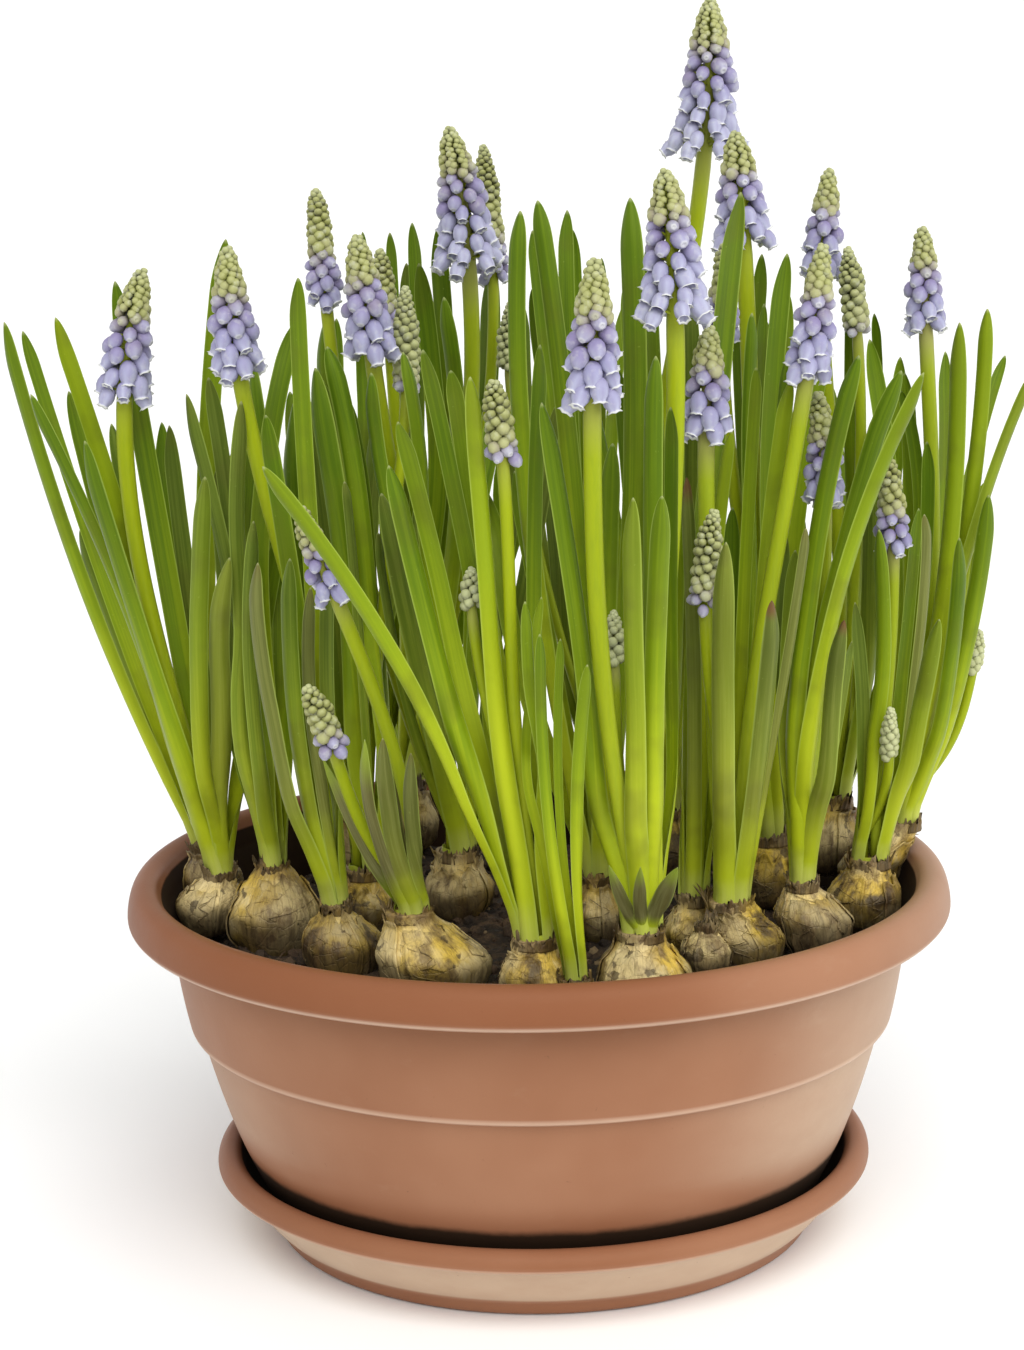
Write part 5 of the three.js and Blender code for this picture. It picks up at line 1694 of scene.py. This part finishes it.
@dataclass
class LeafTuft:
    """All the blades of one plant and the pale sheath that holds them at the neck."""

    number: int
    plant: Plant
    strands: list[Strand]
    sheath_rows: tuple[tuple[float, float], ...] = (
        (0.55, 0.0), (1.25, 0.0), (1.2, 0.5), (1.0, 0.97), (0.72, 1.0), (0.6, 0.5), (0.55, 0.0))

    def build(self, finish: bpy.types.Material) -> bpy.types.Object:
        """Makes and dresses the blades."""
        shell = Shell("blade", "look")
        for index, strand in enumerate(self.strands):
            self.blade(shell, strand, index)
        self.sheath(shell)
        made = shell.build(f"blades_{self.number:02d}", finish)
        sharpen(made, 62.0)
        return dressed(made, f"leaves_{self.number:02d}")

    def blade(self, shell: Shell, strand: Strand, index: int) -> None:
        """Adds one fleshy channelled blade with a blunt hooded tip."""
        deep, young, brown = LeafLook(self.plant.looks[index]).tints
        chance = spread(self.number * 7 + index * 3)
        length = float(np.linalg.norm(np.diff(strand.points, axis=0), axis=1).sum())
        taper = min(0.45, 2.9 * strand.width / length)
        rounded = 1 - np.sin(np.linspace(0, math.pi / 2, 13)[1:])
        share = np.concatenate([np.linspace(0.0, 1.0 - taper, 22), 1.0 - taper * rounded])
        share[-1] = 0.9995
        at, direction = strand.along(share)
        at[0, 2] -= 2.3
        across = unit(np.cross(direction, around(1.0, facing(strand, share, index), 0.0)))
        outer = unit(np.cross(direction, across))
        # half width, thickness and channel from foot to tip, as columns
        share = share[:, None]
        t = np.clip((share - (1 - taper)) / taper, 0, 1)
        close = np.maximum(1 - t**2, 0.0) ** (0.68 + 0.14 * (young > 1.0))
        waist = 0.12 * smoothstep(share, 0.0, 0.4) + 0.06 * smoothstep(share, 0.6, 1.0)
        half = 0.5 * strand.width * (1.26 - 0.2 * young - waist) * np.maximum(close, 0.06)
        thick = 0.30 * strand.width * (1.05 - 0.3 * smoothstep(share, 0.1, 0.6)) * np.maximum(close, 0.1)
        curl = 0.48 - 0.14 * smoothstep(share, 0.1, 0.5) + 0.2 * smoothstep(t, 0.2, 1.0)
        # the section: over the outer face, then back over the hollow inner one
        wide = np.linspace(-1, 1, 11)
        back = wide[1:-1][::-1]
        u = np.concatenate([wide, 0.93 * back])
        outside = np.concatenate([0.5 * (1 - np.abs(wide) ** 2.6), -0.5 * (1 - np.abs(back) ** 2) ** 0.7])
        x = half * u
        y = thick * (outside + 0.12) - curl * half * u**2 - 0.3 * strand.width * t**2
        rings = at[:, None] + across[:, None] * x[..., None] + outer[:, None] * y[..., None]
        tone = min(max(deep + 0.45 * (chance - 0.5), 0.0), 1.0)
        inner = (np.arange(len(u)) >= len(wide)).astype(float)
        shell.skin(
            rings,
            blade=np.stack(np.broadcast_arrays(u, share, tone), axis=-1),
            look=np.stack(np.broadcast_arrays(young, brown, inner + 0 * x), axis=-1),
        )

    def sheath(self, shell: Shell) -> None:
        """Adds the short pale sheath, open at the top and uneven along its edge."""
        turn = np.linspace(0, 2 * math.pi, 29)[:-1]
        edge = 1.4 + 0.4 * np.sin(2 * turn + self.number) + 0.2 * np.sin(5 * turn)
        inside = self.plant.sheath_hole - 0.1
        rings = [around(inside + out * 0.6, turn, 0.3 + up * edge) for out, up in self.sheath_rows]
        shell.skin(self.plant.crown + np.array(rings), capped=False, blade=np.array([0.0, 0.04, 0.2]))


# ------------------------------------------------------------------ flower stalks


def ease(x: float, low: float, high: float) -> float:
    """Eases one number from 0 at low to 1 at high."""
    return float(smoothstep(x, low, high))


@dataclass
class Floret:
    """One bud or bell: its shape, its length, where it sits, its "bloom" vector and how it is turned."""

    kind: int
    length: float
    base: np.ndarray
    bloom: np.ndarray
    turned: np.ndarray


@dataclass(frozen=True)
class Head:
    """What the florets of one head share. Its half width over the bells says how ripe it is.

    The tables give a floret's reach and its rise over the level, in degrees: by its place in the head
    (0 to 1), or in a head with bells, the rise by how far it lies below the uppermost bells.
    """

    half: float
    height: float
    start: float
    stem: float
    chance: float
    belled_reach: tuple = ((0, 0.12, 0.3, 0.5, 0.65, 0.8, 0.92, 1.0),
                           (0.95, 1.0, 0.90, 0.72, 0.60, 0.45, 0.28, 0.08))
    budded_reach: tuple = ((0, 0.2, 0.5, 0.8, 1.0), (0.75, 1.0, 0.92, 0.6, 0.15))
    belled_rise: tuple = ((-0.42, -0.3, -0.14, 0.0, 0.1, 0.22, 0.4, 0.6),
                          (84, 52, 14, -14, -42, -62, -66, -52))
    budded_rise: tuple = ((0, 0.3, 0.75, 0.92, 1.0), (-18, 6, 30, 58, 84))

    @property
    def belled(self) -> float:
        """How much of the head has bells."""
        return 0.62 * ease(self.half, 2.7, 6.5) + 0.06 * ease(self.half, 8.0, 10.0)

    @property
    def fade(self) -> float:
        """How far its lowest bells are past their best."""
        return ease(self.half, 7.3, 10.4)

    @property
    def bell(self) -> float:
        """Length of a bell."""
        return 6.0 * (0.72 + 0.30 * ease(self.half, 3.0, 9.0))

    def envelope(self, place: float) -> float:
        """Half width of the head at a place."""
        if self.belled == 0:
            return self.half * float(np.interp(place, *self.budded_reach))
        flared = 1.04 + 0.26 * self.fade * ease(0.28 - place, 0.0, 0.2)
        return self.half * flared * float(np.interp(place, *self.belled_reach))

    def rise(self, place: float, ripe: float, jitter: Sequence[float]) -> float:
        """How steeply a floret stands, as an angle over the level."""
        if self.belled == 0:
            level = float(np.interp(place, *self.budded_rise))
        else:
            level = float(np.interp(self.belled - place + 0.05 * jitter[1], *self.belled_rise))
        droop = self.fade * ease(0.24 - place, 0.0, 0.14) * (16 + 44 * jitter[0])
        return math.radians(level + 24 * jitter[3] * (0.3 + ripe) + droop)


@dataclass
class FlowerStalks:
    """A plant's flower stalks: round stems, each with a spike of buds above and bells below."""

    number: int
    plant: Plant
    strands: list[Strand]
    shapes: tuple[str, ...] = ("bell_open", "bell_closed", "bud", "bell_wide")
    stalklet_radius: float = 0.36
    golden_angle: float = 137.5
    florets: list[Floret] = field(default_factory=list)

    def build(self, stem_finish: bpy.types.Material, bloom_finish: bpy.types.Material,
              grower: Grower) -> bpy.types.Object:
        """Makes and dresses the stalks."""
        shell = Shell("stem", "bloom", "turned")
        for index, strand in enumerate(self.strands):
            self.stalk(shell, strand, index)
        solid = shell.count
        shell.add(np.array([floret.base for floret in self.florets]), [],
                  bloom=np.array([floret.bloom for floret in self.florets]),
                  turned=np.array([floret.turned for floret in self.florets]))
        made = shell.build(f"spikes_{self.number:02d}", stem_finish, bloom_finish)
        note(made.data, "kind", "INT", [-1] * solid + [floret.kind for floret in self.florets])
        note(made.data, "length", "FLOAT", [0.0] * solid + [floret.length * MM for floret in self.florets])
        grower.bloom(made, self.shapes, bloom_finish)
        return dressed(made, f"flower_stalks_{self.number:02d}")

    def stalk(self, shell: Shell, strand: Strand, index: int) -> None:
        """Adds one stem and notes where its florets go."""
        foot, tip = strand.points[0], strand.points[-1]
        start = (strand.bells - foot[2]) / (tip[2] - foot[2])
        thick = 1.35 + 0.85 * ease(strand.width, 2.6, 9.0)
        chance = spread(self.number * 5 + index * 2)
        share = np.concatenate([np.linspace(0, start, 26), np.linspace(start, 0.985, 16)[1:]])
        bottom = np.array([foot[0], foot[1], self.plant.crown[2] + 0.4])
        line = np.vstack([bottom, strand.along(share)[0]])
        up = np.concatenate([[0.0], share])
        within = np.clip((up - start) / (1 - start), 0, 1)
        radius = thick * (0.86 + 0.14 * smoothstep(up, 0.1, 0.4)) * (1 - 0.72 * within) + 0.05
        radius[:2] = np.minimum(radius[:2], STEM_FOOT)
        flush = (0.15 + 0.75 * chance**2) * smoothstep(up, start - 0.07, start + 0.02)
        shell.tube(line, radius, 14, stem=np.stack([up, flush, np.full(len(up), chance)], axis=1))
        self.wind(shell, strand, Head(strand.width, tip[2] - strand.bells, start, thick, chance))

    def wind(self, shell: Shell, strand: Strand, head: Head) -> None:
        """Winds the florets up the head, bells at the bottom and tight buds above."""
        half, belled, bell = head.half, head.belled, head.bell
        place, turn, count = (bell * 0.62 / head.height if belled > 0 else 0.02), 6.3 * head.chance, 0
        while place < 0.995:
            count += 1
            jitter = [spread(count * k + half * 13.7) - 0.5 for k in (1.0, 3.0, 7.0, 11.0)]
            down = belled - place + 0.05 * jitter[1]
            ripe, opened, nearly = 0.0, 0.0, 0.0
            if belled > 0:
                ripe, opened = ease(down, -0.12, 0.08), ease(down, 0.12, 0.30)
                nearly = 0.16 * ease(down, -0.3, 0.0)
            stage = 0.62 * ripe + 0.36 * opened + 0.42 * head.fade * opened * (1 - place / max(belled, 0.1))
            stage += (0.10 + nearly) * (1 - ripe)
            bud = (3.3 - 1.7 * ease(place, 0.4, 1.0)) * (0.7 + 0.3 * ease(half, 2.4, 6.0))
            length = (bud * (1 - ripe) + bell * (0.8 + 0.2 * opened) * ripe) * (1 + 0.24 * jitter[0])
            envelope = head.envelope(place)
            rise = head.rise(place, ripe, jitter)
            at, along = (row[0] for row in strand.along(np.array([head.start + place * (1 - head.start)])))
            side = unit(np.cross(along, np.array([0.0, 1.0, 0.0])))
            angle = turn + 0.4 * jitter[2]
            out = side * math.cos(angle) + np.cross(along, side) * math.sin(angle)
            axis = unit(out * math.cos(rise) + along * math.sin(rise))
            reach = envelope * (1 + 0.15 * jitter[3]) - math.cos(rise) * length - 0.30 * length * opened
            base = at + out * max(reach, 0.25) + along * (0.35 * length * ripe)
            wide = head.fade > 0.5 and spread(count * 5 + head.chance) > 0.6
            kind = (3 if wide else 0) if opened > 0.4 else (1 if ripe > 0.4 else 2)
            roll = Matrix.Rotation(6.3 * spread(count * 9), 3, "Z").to_quaternion()
            turned = np.array((Vector(axis).to_track_quat("Z", "Y") @ roll).to_euler())
            pale = 0.75 * (1 - ease(half, 2.6, 5.0)) + 0.5 * ease(place, 0.86, 1.0) * (1 - ripe)
            bloom = np.array([stage, spread(count * 3 + half), min(pale, 1.0)])
            self.florets.append(Floret(kind, length, base, bloom, turned))
            if ripe > 0.3:
                root = at + out * head.stem * 0.5 + along * 0.5
                line = bow(root, (root + base) / 2 + along * 0.45, base + axis * 0.25, 5)
                stem = np.broadcast_to(np.array([0.5, 0.15, 0.3]), line.shape)
                shell.tube(line, np.full(len(line), self.stalklet_radius), 5, stem=stem)
            girth = 2 * math.pi * max(envelope - 0.42 * length, 0.8)
            room = (0.92 * ripe + 0.60 * (1 - ripe)) * (0.68 * ripe + 1 - ripe) * length * length
            place += room / girth / head.height
            turn += math.radians(self.golden_angle)


# ------------------------------------------------------------------ studio


@dataclass
class Studio:
    """A plain pale floor that rises far away on all sides, soft light, and the camera; lengths in metres."""

    lens: float = 85.0
    sensor: float = 36.0
    eye: tuple[float, float, float] = (-0.0059, -0.8209, 0.3284)
    pitch: float = 77.71
    roll: float = -1.15
    floor_size: float = 80.0
    floor_flat: float = 0.55
    floor_rise: float = 0.22
    sky: float = 0.70
    sun: float = 2.3
    sun_angle: float = 50.0
    sun_place: tuple[float, float, float] = (0.18, -1.0, 1.15)
    panel: float = 3.5
    panel_size: float = 0.9
    panel_place: tuple[float, float, float] = (1.25, -0.45, 0.55)
    target: tuple[float, float, float] = (0.0, 0.0, 0.1)

    def build(self, finish: bpy.types.Material) -> None:
        """Makes the floor, the lights and the camera."""
        self.camera()
        corners = ((-1.0, -1.0), (1.0, -1.0), (1.0, 1.0), (-1.0, 1.0))
        spots = np.array([(x * reach, y * reach, high) for reach, high in (
            (self.floor_flat, 0.0), (1.0, self.floor_rise)) for x, y in corners]) * self.floor_size
        slopes = [(i, i + 4, (i + 1) % 4 + 4, (i + 1) % 4) for i in range(4)]
        mesh = bpy.data.meshes.new("studio_floor")
        mesh.from_pydata(spots.tolist(), [], [(0, 1, 2, 3), *slopes])
        mesh.materials.append(finish)
        floor = placed("studio_floor", mesh)
        self.lights()

    def camera(self) -> None:
        """Places the camera."""
        data = bpy.data.cameras.new("camera")
        data.lens, data.sensor_width, data.sensor_fit = self.lens, self.sensor, "AUTO"
        data.clip_start, data.clip_end = 0.01, 500.0
        camera = placed("camera", data)
        pitch = Matrix.Rotation(math.radians(self.pitch), 4, "X")
        turn = pitch @ Matrix.Rotation(math.radians(self.roll), 4, "Z")
        camera.matrix_world = Matrix.Translation(self.eye) @ turn
        bpy.context.scene.camera = camera

    def lights(self) -> None:
        """Places a broad sun, a soft panel at the right and an even sky."""
        world = bpy.data.worlds.new("sky")
        world.use_nodes = True
        background = world.node_tree.nodes["Background"]
        background.inputs["Color"].default_value = (1.0, 1.0, 1.0, 1.0)
        background.inputs["Strength"].default_value = self.sky
        scene = bpy.context.scene
        scene.world = world
        scene.view_settings.view_transform = "Standard"
        scene.view_settings.look = "None"
        sun = bpy.data.lights.new("sun", "SUN")
        sun.energy, sun.angle = self.sun, math.radians(self.sun_angle)
        self.aim(sun, self.sun_place)
        panel = bpy.data.lights.new("panel", "AREA")
        panel.energy, panel.size = self.panel, self.panel_size
        self.aim(panel, self.panel_place)

    def aim(self, light: bpy.types.Light, at: Sequence[float]) -> None:
        """Places a light and points it at the plants."""
        made = placed(light.name, light)
        made.location = at
        made.rotation_euler = (Vector(self.target) - Vector(at)).to_track_quat("-Z", "Y").to_euler()


# ------------------------------------------------------------------ everything in order


@dataclass
class Clump:
    """All the plants, with the centre lines that they share."""

    strands: list[Strand] = field(default_factory=list)
    blades: dict[int, list[Strand]] = field(default_factory=dict)
    stems: dict[int, list[Strand]] = field(default_factory=dict)

    def lay_out(self) -> None:
        """Lays every centre line and lets neighbours make room."""
        for number, plant in enumerate(PLANTS):
            blades = [leaf_strand(number, plant, row, i) for i, row in enumerate(plant.leaves)]
            stems = [stalk_strand(number, plant, row) for row in plant.stalks]
            self.blades[number], self.stems[number] = blades, stems
            self.strands += blades + stems
        settle(self.strands)

    def build(self, grower: Grower) -> None:
        """Makes and dresses every plant."""
        leaf = LeafFinish("strap_leaf").build()
        stem = StemFinish("flower_stem").build()
        bloom = BloomFinish("bells_and_buds").build()
        tunic = TunicFinish("papery_tunic").build()
        for index, plant in enumerate(PLANTS):
            number = index + 1
            following = PLANTS[number] if number < len(PLANTS) and PLANTS[number].daughter else None
            if not plant.daughter:
                Bulb(number, plant, following).build(tunic)
            LeafTuft(number, plant, self.blades[index]).build(leaf)
            if plant.stalks:
                FlowerStalks(number, plant, self.stems[index]).build(stem, bloom, grower)


def make_library() -> Library:
    """Makes the small repeated shapes."""
    library = Library()
    library.ring_shape(
        "bell_open",
        [(0.0, 0.09, 0.0), (0.06, 0.21, 0.06), (0.2, 0.315, 0.2), (0.44, 0.365, 0.42), (0.66, 0.345, 0.62),
         (0.84, 0.25, 0.82), (0.9, 0.235, 0.9), (0.98, 0.285, 1.0), (0.93, 0.21, 1.0), (0.7, 0.18, 0.3)], 12,
        teeth=0.05)
    library.ring_shape(
        "bell_wide",
        [(0.0, 0.10, 0.0), (0.07, 0.23, 0.07), (0.22, 0.33, 0.22), (0.48, 0.38, 0.45), (0.7, 0.355, 0.66),
         (0.86, 0.29, 0.84), (0.97, 0.34, 1.0), (0.92, 0.26, 1.0), (0.66, 0.22, 0.3)], 12, teeth=0.06)
    library.ring_shape(
        "bell_closed",
        [(0.0, 0.12, 0.0), (0.08, 0.27, 0.08), (0.28, 0.40, 0.28), (0.54, 0.42, 0.52), (0.76, 0.34, 0.74),
         (0.9, 0.2, 0.9), (0.97, 0.13, 1.0), (0.9, 0.07, 1.0)], 10)
    library.ring_shape(
        "bud",
        [(0.0, 0.30, 0.0), (0.2, 0.50, 0.3), (0.48, 0.575, 0.55), (0.72, 0.52, 0.72), (0.88, 0.38, 0.86),
         (0.96, 0.17, 1.0)], 7)
    for name, seed in (("clod_a", 1.0), ("clod_b", 4.0), ("clod_c", 9.0)):
        library.clod(name, seed)
    library.splinter("splinter")
    return library


def main() -> None:
    """Builds the whole scene in order."""
    Studio().build(FloorFinish("studio_floor").build())
    plastic = PlasticFinish("terracotta_plastic").build()
    Saucer().build(plastic)
    Pot().build(plastic)
    library = make_library()
    grower = Grower(library)
    Compost().build(SoilFinish("potting_soil").build(), grower)
    clump = Clump()
    clump.lay_out()
    clump.build(grower)
    library.clear()


if __name__ == "__main__":
    logging.basicConfig(level=logging.INFO, format="%(relativeCreated)7.0f ms %(name)s: %(message)s")
    main()
